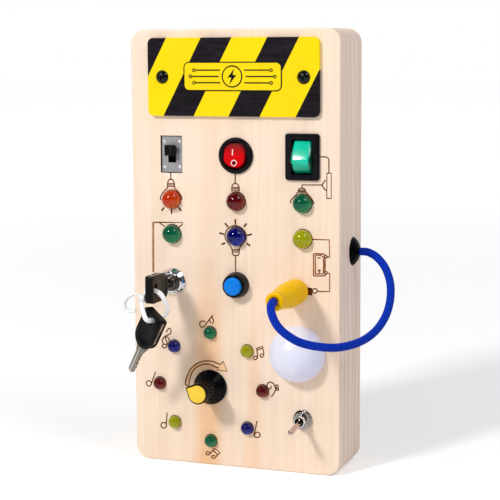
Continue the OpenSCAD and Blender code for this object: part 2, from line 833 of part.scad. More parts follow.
module push_button_housing() {
    color("#17171a") on_panel(col_m, row_button) rotate_extrude() difference() {
        polygon([[0, -push_barrel_len], [push_barrel_r, -push_barrel_len], [push_barrel_r, 0],
            [push_bezel_r, 0], [push_bezel_r, 1.2], [push_rim_r + 0.5, push_bezel_h - 1],
            [push_rim_r, push_bezel_h], [0, push_bezel_h]]);
        translate([0, push_floor]) square([push_cap_r + clear, push_bezel_h]);
        translate([0, -push_barrel_len + 2]) square([plunger_r + run, push_barrel_len]);
    }
}

module push_button_cap() {
    color("#1090ff") on_panel(col_m, row_button) rotate_extrude() union() {
        polygon([[0, push_cap_base], [push_cap_r, push_cap_base], [push_cap_r, push_cap_top - 0.8],
            [push_cap_r - 0.8, push_cap_top], [0, push_cap_top]]);
        translate([0, -plunger_len]) square([plunger_r, plunger_len + push_cap_base]);
    }
}

// Hexagon nut that grips the front wall from behind
module back_nut(across_r, bore_r) {
    difference() {
        translate([0, 0, -front_t - 3]) cylinder(r = across_r, h = 3, $fn = 6);
        disc(bore_r, -front_t - 3 - over, -front_t + over);
    }
}

module push_button_nut() {
    color("#202024") on_panel(col_m, row_button) back_nut(10, push_barrel_r + run);
}

// ---- Key lock and keys

module key_lock_barrel() {
    color("#d9dcdf") on_panel(col_l, row_button) difference() {
        union() {
            rotate_extrude() polygon([[0, 0], [lock_flange_r, 0], [lock_flange_r, 0.9],
                [lock_flange_r - 0.5, 1.5], [rotor_r + 1.5, lock_bezel_h],
                [0, lock_bezel_h]]);
            disc(lock_barrel_r, -lock_barrel_len, 0);
        }
        disc(rotor_r + run, -rotor_back - 0.5, lock_bezel_h + over);
    }
    color("#d9dcdf") on_panel(col_l, row_button)
        for (s = [-1, 1]) translate([0, lock_tab_y * s, 0])
            box(lock_tab[0], lock_tab[1], -lock_barrel_len - lock_tab[2], -lock_barrel_len);
}

module key_lock_nut() {
    color("#c9ccd0") on_panel(col_l, row_button) back_nut(11, lock_barrel_r + run);
}

module key_lock_rotor() {
    slot_w = key_blade_w + 0.4;
    slot_t = key_blade_t + 0.4;
    color("#8d8a86") on_panel(col_l, row_button) difference() {
        union() {
            disc(rotor_r, -rotor_back, lock_bezel_h + 0.4);
            rotate_extrude() polygon([[0, lock_bezel_h], [rotor_nose_r, lock_bezel_h],
                [rotor_nose_r, rotor_reach - 0.5], [rotor_nose_r - 0.5, rotor_reach], [0, rotor_reach]]);
        }
        box(slot_t, slot_w, key_seat - key_blade_len - 0.8, rotor_reach + over);
    }
}

// Metal blade of a key: z = 0 is its stop, the tip points down and the head is above
module blade_solid() {
    half = key_blade_w / 2;
    wide = key_head_w / 2 - 0.1;
    plate_top = key_plate_top;
    rotate([90, 0, 90]) translate([0, 0, -key_blade_t / 2]) linear_extrude(key_blade_t) difference() {
        polygon([[-half + 1.4, -key_blade_len], [half - 1.4, -key_blade_len], [half, -key_blade_len + 1.6],
            [half, 0.6], [wide - 1.7, tang_narrow], [wide, tang_full], [wide, plate_top],
            [-wide, plate_top], [-wide, tang_full], [1.7 - wide, tang_narrow],
            [-half, 0.6], [-half, -key_blade_len + 1.6]]);
        translate([0, key_hole_z]) rounded_rect(key_hole_w + 0.6, key_hole_h + 0.6, key_hole_h / 2);
        // Bitting cut into one edge
        for (k = [0 : 3]) translate([half, -3 - 3.4 * k])
            polygon([[0.2, -1.4], [-0.4 - 0.3 * (k % 2), -0.5], [-0.4 - 0.3 * (k % 2), 0.5], [0.2, 1.4]]);
    }
}

module blade_dressed() {
    groove = 0.35;
    difference() {
        blade_solid();
        for (s = [-1, 1]) translate([s * key_blade_t / 2, -0.5, 0])
            box(2 * groove, 1, -key_blade_len - over, 5);
    }
}

// Moulded head of a key, open along its middle for the blade's tang
module head_solid() {
    r = key_head_w / 2;
    top = key_shoulder + key_head_len;
    end_r = 1.8;
    module outline() {
        translate([0, key_shoulder + r]) circle(r);
        translate([-r, key_shoulder + r]) square([2 * r, top - key_shoulder - r - end_r]);
        translate([end_r - r, top - 2 * end_r]) square([2 * (r - end_r), 2 * end_r]);
        for (s = [-1, 1]) translate([s * (r - end_r), top - end_r]) circle(end_r);
    }
    difference() {
        rotate([90, 0, 90]) translate([0, 0, -key_head_t / 2]) linear_extrude(key_head_t) outline();
        // Hole for a ring or strap
        rotate([90, 0, 90]) translate([0, key_hole_z, -key_head_t]) linear_extrude(2 * key_head_t)
            rounded_rect(key_hole_w, key_hole_h, key_hole_h / 2 - 0.05);
        // Slit between the two cheeks for the metal plate
        box(key_blade_t + 0.1, key_head_w + over, 0, key_plate_top + 0.1);
        // Shallow oval on both faces
        for (s = [-1, 1]) rotate([90, 0, 90]) translate([0, key_shoulder + r + 1, s * key_head_t / 2 - 0.3])
            linear_extrude(0.6) rounded_rect(key_head_w - 7, key_head_w - 4, (key_head_w - 7) / 2 - 0.05);
    }
}

module in_lock() {
    on_panel(col_l, row_button) translate([0, 0, key_seat]) children();
}

module on_strap() {
    translate(spare_hole) rotate(spare_turn) translate([0, 0, -key_hole_z]) children();
}

module key_blade() color("#b8b4ae") in_lock() blade_dressed();
module key_head() color("#121214") in_lock() head_solid();
module spare_key_blade() color("#b8b4ae") on_strap() blade_dressed();
module spare_key_head() color("#121214") on_strap() head_solid();

// ---- Swept tubes: the cord and the strap

function unit(v) = v / norm(v);

// Point on the smooth curve through p1 and p2, with neighbours p0 and p3
function spline(p0, p1, p2, p3, t) = 0.5 * ((2 * p1) + (p2 - p0) * t
    + (2 * p0 - 5 * p1 + 4 * p2 - p3) * t * t + (3 * p1 - p0 - 3 * p2 + p3) * t * t * t);

function smooth_route(p, steps) = let (n = len(p)) concat(
    [for (i = [0 : n - 2], k = [0 : steps - 1])
        spline(i == 0 ? 2 * p[0] - p[1] : p[i - 1], p[i], p[i + 1],
            i == n - 2 ? 2 * p[n - 1] - p[n - 2] : p[i + 2], k / steps)], [p[n - 1]]);

function tangents(p) = let (n = len(p))
    [for (i = [0 : n - 1]) unit(p[min(i + 1, n - 1)] - p[max(i - 1, 0)])];

function beside(u, t) = unit(u - (u * t) * t);

function normals(t, first) = [for (i = 0, u = beside(first, t[0]); i < len(t);
    i = i + 1, u = i < len(t) ? beside(u, t[i]) : u) u];

// Tube of radius r along a route that leaves its first point straight
module tube(route, r, sides, steps, first) {
    path = concat([route[0]], smooth_route([for (i = [1 : len(route) - 1]) route[i]], steps));
    t = tangents(path);
    u = normals(t, first);
    n = len(path);
    points = [for (i = [0 : n - 1], k = [0 : sides - 1]) let (a = 360 * k / sides)
        path[i] + r * (cos(a) * u[i] + sin(a) * cross(t[i], u[i]))];
    sides_faces = [for (i = [0 : n - 2], k = [0 : sides - 1]) let (j = (k + 1) % sides)
        [i * sides + k, (i + 1) * sides + k, (i + 1) * sides + j, i * sides + j]];
    ends = [[for (k = [0 : sides - 1]) k], [for (k = [sides - 1 : -1 : 0]) (n - 1) * sides + k]];
    polyhedron(points = points, faces = concat(sides_faces, ends), convexity = 6);
}

module key_tie() {
    color("#f2f4f6") {
        tube(tie_route, tie_r, tie_sides, tie_steps, [0, 0, 1]);
        tube(tail_route, tie_r * 0.9, tie_sides, tie_steps, [0, 1, 0]);
        translate(clasp_at) translate(-clasp / 2) cube(clasp);
    }
}

module plug_cord() {
    color("#0a37d0") tube(cord_route, cord_r, cord_sides, cord_steps, [1, 0, 0]);
}

// ---- Jack, plug and grommet

module jack_socket() {
    color("#c9ccd0") on_panel(jack_x, jack_z) difference() {
        union() {
            disc(jack_flange_r, 0, jack_flange_t);
            disc(jack_body_r, -jack_body_len, 0);
            translate([0, 0, -front_t - 2.5]) cylinder(r = jack_nut_r, h = 2.5, $fn = 6);
        }
        disc(pin_r + run, -pin_len - 1, jack_flange_t + over);
    }
}

module plug_pin() {
    color("#d7c58a") on_panel(jack_x, jack_z) rotate_extrude() union() {
        translate([0, -pin_len + 1.5]) square([pin_r, pin_len - 1.5 + plug_base + 3]);
        polygon([[0, -pin_len], [0.7, -pin_len], [pin_r, -pin_len + 1.5], [0, -pin_len + 1.5]]);
    }
}

// Stepped shell with finger ribs, ending in a collar round the cord
module plug_shell() {
    body_end = plug_base + 0.48 * plug_len;
    waist_end = plug_base + 0.76 * plug_len;
    waist_r = plug_r - 1;
    collar_r = cord_r + 2.6;
    ribs = 5;
    rib_pitch = (body_end - plug_base - 6) / ribs;
    color("#ffcf14") on_panel(jack_x, jack_z) rotate_extrude() difference() {
        union() {
            polygon([[0, plug_base], [plug_r - 0.9, plug_base], [plug_r - 0.2, plug_base + 1.6],
                [plug_r, plug_base + 5], [plug_r, body_end - 2], [waist_r + 0.3, body_end + 1],
                [waist_r, waist_end - 3], [collar_r + 0.4, waist_end + 1], [collar_r, waist_end + 2],
                [collar_r, plug_front - 1], [collar_r - 1, plug_front], [0, plug_front]]);
        }
        for (k = [0 : ribs - 1]) translate([plug_r + 0.15, plug_base + 5.5 + rib_pitch * k]) circle(0.6);
        // Seat of the pin
        translate([0, plug_base - over]) square([pin_r + 0.02, 3 + over]);
    }
}

module cord_grommet() {
    stem_r = cord_r + 1.6;
    round_r = (grommet_r * grommet_r + grommet_h * grommet_h) / (2 * grommet_h);
    color("#131315") translate([body_w / 2, grommet_y, grommet_z]) rotate([0, 90, 0]) {
        intersection() {
            disc(grommet_r, 0, grommet_h);
            translate([0, 0, grommet_h - round_r]) sphere(round_r);
        }
        disc(stem_r, -rim_t, 0);
    }
}

// ---- Dial

module dial_pot() {
    color("#9a9ca0") on_panel(dial_x, dial_z) difference() {
        union() {
            disc(dial_bush_r, -front_t, nut_t + 0.2);
            disc(dial_pot_r, -front_t - dial_pot_t, -front_t);
            for (k = [-1 : 1]) translate([3.6 * k, -dial_pot_r - 1.5, 0])
                box(1.6, 4, -front_t - 5, -front_t - 4.2);
        }
        disc(shaft_r + run, -front_t - 5, nut_t + over);
    }
}

module dial_nut() {
    color("#c9ccd0") on_panel(dial_x, dial_z) difference() {
        cylinder(r = dial_nut_r, h = nut_t, $fn = 6);
        disc(dial_bush_r + run, -over, nut_t + over);
    }
}

module dial_shaft() {
    color("#b7b9bd") on_panel(dial_x, dial_z) rotate(pointer_rest) difference() {
        disc(shaft_r, -front_t - 4.6, shaft_top);
        translate([0, 1.5 * shaft_r, 0])
            box(2 * shaft_r + over, shaft_r, skirt_hollow_h + 1, shaft_top + over);
    }
}

module pointer_outline(r, reach) {
    flank = acos(r / reach);
    circle(r);
    // The flanks end just inside the circle
    polygon([[0, reach], [-0.97 * r * sin(flank), 0.97 * r * cos(flank)], [0, 0],
        [0.97 * r * sin(flank), 0.97 * r * cos(flank)]]);
}

module dial_knob() {
    deck = knob_h - 1;
    body_base = skirt_base + skirt_t + 4;
    color("#161618") on_panel(dial_x, dial_z) rotate(pointer_rest) difference() {
        union() {
            rotate_extrude() polygon([[0, skirt_base], [skirt_r, skirt_base],
                [skirt_r, skirt_base + skirt_t - 0.5], [skirt_r - 0.6, skirt_base + skirt_t],
                [knob_r + 1.2, body_base], [knob_r + 0.2, body_base + 1], [knob_r, body_base + 2],
                [knob_r, deck - 0.5], [0, deck - 0.5]]);
            // Pointed deck that carries the cap
            translate([0, 0, deck - 5]) linear_extrude(5) pointer_outline(knob_r, pointer_reach);
        }
        for (k = [0 : flutes - 1]) rotate(360 * (k + 0.5) / flutes) translate([knob_r + 0.25, 0, 0])
            disc(flute_r, body_base + 1.5, deck - 5.4);
        disc(skirt_hollow_r, skirt_base - over, skirt_hollow_h);
        disc(shaft_r + 0.02, skirt_base, shaft_top + 0.2);
        translate([0, 0, knob_h - pointer_t]) linear_extrude(pointer_t + over)
            pointer_outline(knob_r - 0.9, pointer_reach - 1.1);
    }
}

module dial_pointer() {
    color("#ffd530") on_panel(dial_x, dial_z) rotate(pointer_rest)
        translate([0, 0, knob_h - pointer_t]) linear_extrude(pointer_t)
            pointer_outline(knob_r - 1, pointer_reach - 1.25);
}

// ---- Toggle switch

module toggle_switch_body() {
    color("#b4b7ba") on_panel(col_r, toggle_z) difference() {
        union() {
            disc(bushing_r, -front_t, bushing_len);
            box(toggle_body[0], toggle_body[1], -front_t - toggle_body[2], -front_t);
            for (k = [-1 : 1]) translate([4.6 * k, 0, 0])
                box(1.6, 0.8, -front_t - toggle_body[2] - 4, -front_t - toggle_body[2]);
        }
        disc(bush_bore_r, -front_t - 5, bushing_len + over);
    }
}

module toggle_nut() {
    color("#d5d8da") on_panel(col_r, toggle_z) difference() {
        union() {
            disc(toggle_nut_r + 0.5, 0, 0.7);
            translate([0, 0, 0.7]) rotate(15) cylinder(r = toggle_nut_r, h = toggle_nut_t, $fn = 6);
        }
        disc(bushing_r + run, -over, toggle_nut_t + 2 * over);
    }
}

module toggle_lever() {
    len = (lever_reach - lever_pivot) / cos(lever_swing / 2);
    color("#c9cbce") on_panel(col_r, toggle_z) translate([0, 0, lever_pivot])
        rotate([lever_swing / 2, 0, 0]) {
        sphere(lever_ball_r);
        cylinder(r1 = lever_r - 0.35, r2 = lever_r, h = len - lever_r);
        translate([0, 0, len - lever_r]) sphere(lever_r);
        mirror([0, 0, 1]) cylinder(r = 1, h = lever_pivot + front_t + 1);
    }
}

// ---- Circuit board

module board_hole_places() {
    for (x = [-1, 1], y = [-1, 1]) translate([x * board_hole_x, y * board_hole_y, 0]) children();
}

module circuit_board() {
    face = -front_t - board_gap;
    color("#1d6b3a") on_panel(0, board_z) {
        difference() {
            box(board_w, board_h, face - board_t, face);
            board_hole_places() disc(standoff_pin_r + 0.1, face - board_t - over, face + over);
        }
        // Controller, regulator and capacitor on the back of the board
        translate(chip_at) box(chip[0], chip[1], face - board_t - chip[2], face - board_t);
        translate(regulator_at)
            box(regulator[0], regulator[1], face - board_t - regulator[2], face - board_t);
        translate(capacitor_at) disc(capacitor_r, face - board_t - capacitor_h, face - board_t);
    }
}

module board_standoffs() {
    face = -front_t - board_gap;
    color("#efe9dc") on_panel(0, board_z) board_hole_places() {
        disc(standoff_r, face, -front_t);
        disc(standoff_pin_r, face - board_t - standoff_pin_len, face);
    }
}

wood_body();
back_cover();
back_screws();
battery_box();
battery_contacts();
battery_cells();
battery_door();
door_screw();
sign_plate();
sign_screws();
slide_switch_frame();
slide_switch_base();
slide_switch_handle();
round_rocker_housing();
round_rocker_button();
big_rocker_housing();
big_rocker_paddle();
lamp_orange();
lamp_green_left();
lamp_red();
lamp_blue();
lamp_green_right();
lamp_lime();
note_lamp(0);  // note_lamp_1
note_lamp(1);  // note_lamp_2
note_lamp(2);  // note_lamp_3
note_lamp(3);  // note_lamp_4
note_lamp(4);  // note_lamp_5
note_lamp(5);  // note_lamp_6
note_lamp(6);  // note_lamp_7
note_lamp(7);  // note_lamp_8
push_button_housing();
push_button_cap();
push_button_nut();
key_lock_barrel();
key_lock_nut();
key_lock_rotor();
key_blade();
key_head();
key_tie();
spare_key_blade();
spare_key_head();
jack_socket();
plug_shell();
plug_pin();
plug_cord();
cord_grommet();
dome_cover();
dome_base();
dial_pot();
dial_nut();
dial_shaft();
dial_knob();
dial_pointer();
toggle_switch_body();
toggle_nut();
toggle_lever();
circuit_board();
board_standoffs();
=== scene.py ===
"""Looks of a wooden busy board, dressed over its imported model.

Everything is in the model's own frame, in metres: +Z is up, the front looks along -Y and the
origin is the centre of the body's bottom face. Sizes in the classes below are in millimetres,
as a maker writes them, and are turned into metres where a mesh is made.
"""

import json
import logging
import math
from contextlib import contextmanager
from dataclasses import dataclass
from enum import Enum
from typing import Callable, Iterator, Optional, Protocol, Sequence, Tuple

import bmesh
import bpy
from mathutils import Matrix, Vector

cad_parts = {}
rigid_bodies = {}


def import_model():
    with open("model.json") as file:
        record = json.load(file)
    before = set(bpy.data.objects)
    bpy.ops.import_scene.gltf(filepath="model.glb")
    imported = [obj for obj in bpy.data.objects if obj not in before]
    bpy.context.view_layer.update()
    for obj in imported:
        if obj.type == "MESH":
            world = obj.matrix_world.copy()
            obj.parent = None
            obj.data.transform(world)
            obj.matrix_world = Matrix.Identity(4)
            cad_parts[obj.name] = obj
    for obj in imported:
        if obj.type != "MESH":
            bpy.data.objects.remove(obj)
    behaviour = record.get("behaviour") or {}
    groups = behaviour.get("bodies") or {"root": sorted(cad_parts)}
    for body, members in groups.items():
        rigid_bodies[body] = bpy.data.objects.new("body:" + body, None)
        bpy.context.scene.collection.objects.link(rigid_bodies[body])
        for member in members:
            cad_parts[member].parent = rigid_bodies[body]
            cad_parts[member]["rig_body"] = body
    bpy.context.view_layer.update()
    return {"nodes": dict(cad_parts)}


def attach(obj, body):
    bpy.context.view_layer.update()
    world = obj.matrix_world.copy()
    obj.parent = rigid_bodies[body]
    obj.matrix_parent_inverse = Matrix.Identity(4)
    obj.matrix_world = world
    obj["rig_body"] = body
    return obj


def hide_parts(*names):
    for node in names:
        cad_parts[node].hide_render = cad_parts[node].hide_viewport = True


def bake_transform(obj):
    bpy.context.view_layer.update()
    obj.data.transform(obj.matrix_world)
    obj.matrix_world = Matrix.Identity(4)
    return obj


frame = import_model()

LOG = logging.getLogger("busy_board")
MM = 0.001
Point = Tuple[float, float, float]
Pair = Tuple[float, float]
Socket = bpy.types.NodeSocket
Piece = bpy.types.Object


# ---- sizes shared by the pieces

@dataclass(frozen=True)
class Layout:
    """Places on the board that more than one piece needs, in millimetres."""

    width: float = 150.0
    depth: float = 50.0
    height: float = 300.0
    left: float = -45.5
    middle: float = 1.7
    right: float = 48.9
    switches: float = 215.5
    lamps_upper: float = 184.7
    lamps_lower: float = 160.9
    sign: float = 268.0
    jack: Pair = (45.2, 125.8)
    toggle: Pair = (48.9, 37.6)
    dial: Pair = (-18.0, 55.4)
    lamp_ring: float = 38.1

    @property
    def face(self) -> float:
        """Y of the front face."""
        return -self.depth / 2

    def note_lamp(self, index: int) -> Pair:
        """Place of one of the eight small lamps, clockwise from the top.

        Args:
            index: 0 to 7.

        Returns:
            Its x and z.
        """
        turn = math.radians(45 * index)
        return (self.dial[0] + self.lamp_ring * math.sin(turn), self.dial[1] + self.lamp_ring * math.cos(turn))


BOARD = Layout()
GRAIN = (900, 900, 14)


# ---- finishes

class Axis(Enum):
    """Direction that a grain or a brushing runs in."""

    X = 0
    Y = 1
    Z = 2


def linear(colour: str) -> Tuple[float, float, float, float]:
    """Turns a written colour into the shader's numbers.

    Args:
        colour: "#rrggbb" as it looks on a screen.

    Returns:
        Red, green, blue and alpha in linear light.
    """
    parts = [int(colour[k:k + 2], 16) / 255 for k in (1, 3, 5)]
    return tuple(c / 12.92 if c <= 0.04045 else ((c + 0.055) / 1.055) ** 2.4 for c in parts) + (1.0,)


class Nodes:
    """A node tree, with short ways to add and join its nodes."""

    def __init__(self, tree: bpy.types.NodeTree) -> None:
        """Takes a tree and empties it. Args: the tree."""
        self.tree = tree
        tree.nodes.clear()

    def node(self, kind: str, inputs: Optional[dict] = None, **settings: object) -> bpy.types.Node:
        """Adds one node.

        Args:
            kind: the node's type without its ShaderNode prefix.
            inputs: values or sockets for its inputs, by name or index.
            settings: its own properties.

        Returns:
            The node.
        """
        made = self.tree.nodes.new("ShaderNode" + kind)
        for key, value in settings.items():
            setattr(made, key, value)
        for key, value in (inputs or {}).items():
            if isinstance(value, Socket):
                self.tree.links.new(value, made.inputs[key])
            else:
                made.inputs[key].default_value = value
        return made

    def parts(self, vector: Socket) -> Tuple[Socket, Socket, Socket]:
        """Takes a vector apart. Args: the vector. Returns: its x, y and z."""
        return tuple(self.node("SeparateXYZ", {0: vector}).outputs)

    def math(self, operation: str, a: object, b: object = 0.0, clamp: bool = False) -> Socket:
        """One sum. Args: the operation's name, its two numbers or sockets. Returns: the socket."""
        return self.node("Math", {0: a, 1: b}, operation=operation, use_clamp=clamp).outputs[0]

    def off(self, value: Socket, middle: float) -> Socket:
        """How far a value is from a middle. Args: the value, the middle. Returns: the distance."""
        return self.math("ABSOLUTE", self.math("SUBTRACT", value, middle))

    def length(self, a: Socket, b: Socket) -> Socket:
        """Length of a flat step. Args: its two sides. Returns: the length."""
        return self.math("SQRT", self.math("ADD", self.math("MULTIPLY", a, a), self.math("MULTIPLY", b, b)))

    def remap(self, value: Socket, low: float, high: float, to_low: float, to_high: float) -> Socket:
        """Maps a range onto another, clamped.

        Args:
            value: what is mapped.
            low: start of the range.
            high: end of the range.
            to_low: what the start becomes.
            to_high: what the end becomes.

        Returns:
            The socket.
        """
        return self.node("MapRange", {"Value": value, "From Min": low, "From Max": high, "To Min": to_low,
                                      "To Max": to_high}).outputs[0]

    def blend(self, share: object, first: object, second: object, how: str = "MIX") -> Socket:
        """Mixes two colours.

        Args:
            share: 0 to 1, how much of the second.
            first: colour or socket.
            second: colour or socket.
            how: the blend type.

        Returns:
            The colour's socket.
        """
        return self.node("Mix", {0: share, 6: first, 7: second}, data_type="RGBA", blend_type=how).outputs[2]


class Sheet(Nodes):
    """Node sheet of one material."""

    def __init__(self, name: str) -> None:
        """Starts an empty sheet with its shader and output.

        Args:
            name: the material's name.
        """
        self.material = bpy.data.materials.new(name)
        self.material.use_nodes = True
        super().__init__(self.material.node_tree)
        output = self.node("OutputMaterial")
        self.shader = self.node("BsdfPrincipled")
        self.tree.links.new(self.shader.outputs[0], output.inputs["Surface"])

    def set(self, **values: float) -> "Sheet":
        """Writes constants on the shader's sockets.

        Args:
            values: values, with _ for a space.

        Returns:
            The sheet.
        """
        for key, value in values.items():
            self.shader.inputs[key.replace("_", " ")].default_value = value
        return self

    def join(self, source: Socket, target: str) -> None:
        """Joins a socket to one of the shader's inputs. Args: the socket, the input's name."""
        self.tree.links.new(source, self.shader.inputs[target])

    def place(self, scale: Point = (1, 1, 1), shift: Point = (0, 0, 0)) -> Socket:
        """Object coordinates, moved and then stretched.

        Args:
            scale: how often a pattern repeats per metre, along each axis.
            shift: added to the place first, in metres.

        Returns:
            The vector's socket.
        """
        where = self.node("TexCoord").outputs["Object"]
        moved = self.node("VectorMath", {0: where, 1: shift}, operation="ADD").outputs[0]
        return self.node("VectorMath", {0: moved, 1: scale}, operation="MULTIPLY").outputs[0]

    def millimetres(self, shift: Point = (0, 0, 0)) -> Tuple[Socket, Socket, Socket]:
        """The place on the object. Args: a shift in metres. Returns: its x, y and z in millimetres."""
        return self.parts(self.place((1 / MM,) * 3, shift))

    def facing(self) -> Tuple[Socket, Socket, Socket]:
        """The way the surface looks. Returns: x, y and z of its normal."""
        return self.parts(self.node("NewGeometry").outputs["Normal"])

    def noise(self, where: Socket, scale: float, detail: float = 3.0) -> Socket:
        """A noise's value at a place. Args: the vector, its scale, its octaves. Returns: the value's socket."""
        return self.node("TexNoise", {"Vector": where, "Scale": scale, "Detail": detail}).outputs[0]

    def bump(self, height: Socket, strength: float, distance: float) -> None:
        """Raises the surface by a pattern. Args: the pattern, 0 to 1, its depth in metres."""
        made = self.node("Bump", {"Strength": strength, "Distance": distance, "Height": height})
        self.join(made.outputs[0], "Normal")


class Finish(Protocol):
    """What a piece can be painted with."""

    name: str

    def make(self) -> bpy.types.Material:
        """Builds the material. Returns: the material."""


@dataclass(frozen=True)
class Stave:
    """A warm stave in the front, in millimetres: where it lies and how its warmth fades upwards."""

    middle: float
    half: float
    low: float
    high: float
    least: float = 0.0
    share: float = 1.0


@dataclass(frozen=True)
class Pine:
    """Lacquered pine in glued staves: faint figure in front, clear lines on the sides, cut walls painted dark as
    scorch and as painted shade.
    """

    name: str = "pine"
    pale: str = "#fee8d3"
    late: str = "#cea688"
    warm: str = "#f6c390"
    glue: str = "#d9ab80"
    fibre: str = "#d9b48c"
    # Colour of the cut walls: scorch and painted shade inside the holes.
    cut_scorch_and_shade: str = "#2e170b"
    flank: str = "#fbe6d8"
    contrast: float = 0.075
    side_contrast: float = 0.25
    pith: Point = (0.028, -0.062, 0.0)
    ring_scale: float = 78.0
    staves: Tuple[Stave, ...] = (Stave(-20.5, 10.5, 85.0, 150.0, 0.04),
                                 Stave(13.0, 7.0, 70.0, 120.0, share=0.5))
    joint_x: float = 13.2
    joint_z: Pair = (95.0, 115.0)
    skin: float = 0.06
    wall: float = 7.9
    cut_x: float = 71.0
    cut_z: Pair = (4.0, 296.0)

    def growth(self, sheet: Sheet) -> Socket:
        """Year rings round a pith that wanders along the board.

        Args:
            sheet: the material's node sheet.

        Returns:
            The dark wood's share.
        """
        drift = sheet.node("TexNoise", {"Vector": sheet.place((1, 1, 0.16)), "Scale": 22.0, "Detail": 2.0})
        offset = sheet.node("VectorMath", {0: drift.outputs["Color"], 1: (0.012, 0.012, 0.0)},
                            operation="MULTIPLY").outputs[0]
        wandering = sheet.node("VectorMath", {0: sheet.place((1, 1, 1), self.pith), 1: offset},
                               operation="ADD").outputs[0]
        rings = sheet.node("TexWave", {"Vector": wandering, "Scale": self.ring_scale, "Distortion": 1.2,
                                       "Detail": 2.0, "Detail Scale": 0.6}, wave_type="RINGS",
                           rings_direction="Z", wave_profile="SAW").outputs["Fac"]
        return sheet.remap(rings, 0.35, 1.0, 0.0, 1.0)

    def warmth(self, sheet: Sheet, stave: Stave, across: Socket, up: Socket) -> Socket:
        """How strongly a warm stave shows at a place.

        Args:
            sheet: the material's node sheet.
            stave: the stave.
            across: x in millimetres, wandering a little.
            up: z in millimetres.

        Returns:
            The share's socket.
        """
        near = sheet.remap(sheet.off(across, stave.middle), stave.half * 0.45, stave.half * 1.25, 1.0, 0.0)
        faded = sheet.remap(up, stave.low, stave.high, 1.0, stave.least)
        return sheet.math("MULTIPLY", sheet.math("MULTIPLY", near, faded), stave.share)

    def cuts(self, sheet: Sheet, x: Socket, y: Socket, z: Socket) -> Socket:
        """Where the front wall is cut through: behind its skin and clear of the body's outside.

        Args:
            sheet: the material's node sheet.
            x: in millimetres.
            y: in millimetres.
            z: in millimetres.

        Returns:
            1 in the wall's thickness, 0 elsewhere.
        """
        inside = sheet.math("GREATER_THAN", y, BOARD.face + self.skin)
        for test in (sheet.math("LESS_THAN", y, BOARD.face + self.wall),
                     sheet.math("LESS_THAN", sheet.math("ABSOLUTE", x), self.cut_x),
                     sheet.math("GREATER_THAN", z, self.cut_z[0]), sheet.math("LESS_THAN", z, self.cut_z[1])):
            inside = sheet.math("MULTIPLY", inside, test)
        return inside

    def make(self) -> bpy.types.Material:
        """Builds the material.

        Returns:
            The material.
        """
        sheet = Sheet(self.name).set(Specular_IOR_Level=0.3)
        ring = self.growth(sheet)
        fibres = sheet.noise(sheet.place(GRAIN), 1.0, 4.0)
        streaks = sheet.noise(sheet.place((140, 140, 3)), 1.0, 3.0)
        patches = sheet.noise(sheet.place((24, 18, 3), (0.3, 0.1, 0.7)), 1.0, 2.0)
        sway = sheet.noise(sheet.place((30, 30, 9), (0.9, 0.2, 0.1)), 1.0, 2.0)
        edge_on = sheet.math("ABSOLUTE", sheet.facing()[0])
        x, y, z = sheet.millimetres()
        across = sheet.math("ADD", x, sheet.remap(sway, 0.2, 0.8, -5.0, 5.0))
        strength = sheet.math("ADD", sheet.math("MULTIPLY", edge_on, self.side_contrast), self.contrast)
        plain = sheet.blend(sheet.remap(edge_on, 0.5, 0.9, 0.0, 1.0), linear(self.pale), linear(self.flank))
        shade = sheet.blend(sheet.math("MULTIPLY", ring, strength, True), plain, linear(self.late))
        warm = sheet.remap(patches, 0.5, 0.75, 0.0, 0.18)
        for stave in self.staves:
            warm = sheet.math("ADD", warm, self.warmth(sheet, stave, across, z))
        shade = sheet.blend(sheet.math("MULTIPLY", warm, 0.7, True), shade, linear(self.warm))
        shade = sheet.blend(sheet.remap(streaks, 0.35, 0.7, 0.0, 0.1), shade, linear(self.late), "MULTIPLY")
        shade = sheet.blend(sheet.remap(fibres, 0.3, 0.75, 0.0, 0.09), shade, linear(self.fibre), "MULTIPLY")
        joint = sheet.math("MULTIPLY", sheet.remap(sheet.off(x, self.joint_x), 0.15, 0.5, 0.14, 0.0),
                           sheet.remap(z, *self.joint_z, 0.0, 1.0))
        shade = sheet.blend(joint, shade, linear(self.glue))
        # The walls of the cuts are painted dark: burnt by cutting, and painted shade inside the holes.
        sheet.join(sheet.blend(self.cuts(sheet, x, y, z), shade, linear(self.cut_scorch_and_shade)), "Base Color")
        sheet.join(sheet.remap(streaks, 0.3, 0.7, 0.46, 0.6), "Roughness")
        sheet.bump(sheet.math("ADD", sheet.math("MULTIPLY", ring, 0.3), fibres), 0.3, 0.0001)
        return sheet.material


@dataclass(frozen=True)
class Burnt:
    """Wood burnt by a hot pen: dark, brown at the edges and uneven."""

    name: str
    dark: str
    brown: str
    size: float = 420.0

    def make(self) -> bpy.types.Material:
        """Builds the material.

        Returns:
            The material.
        """
        sheet = Sheet(self.name).set(Roughness=0.85, Specular_IOR_Level=0.15)
        uneven = sheet.noise(sheet.place(), self.size, 3.0)
        fibres = sheet.noise(sheet.place(GRAIN), 1.0, 4.0)
        share = sheet.math("ADD", sheet.remap(uneven, 0.35, 0.7, 0.0, 0.8),
                           sheet.remap(fibres, 0.3, 0.7, 0.0, 0.2))
        sheet.join(sheet.blend(share, linear(self.dark), linear(self.brown)), "Base Color")
        sheet.bump(sheet.math("ADD", uneven, fibres), 0.4, 0.0001)
        return sheet.material


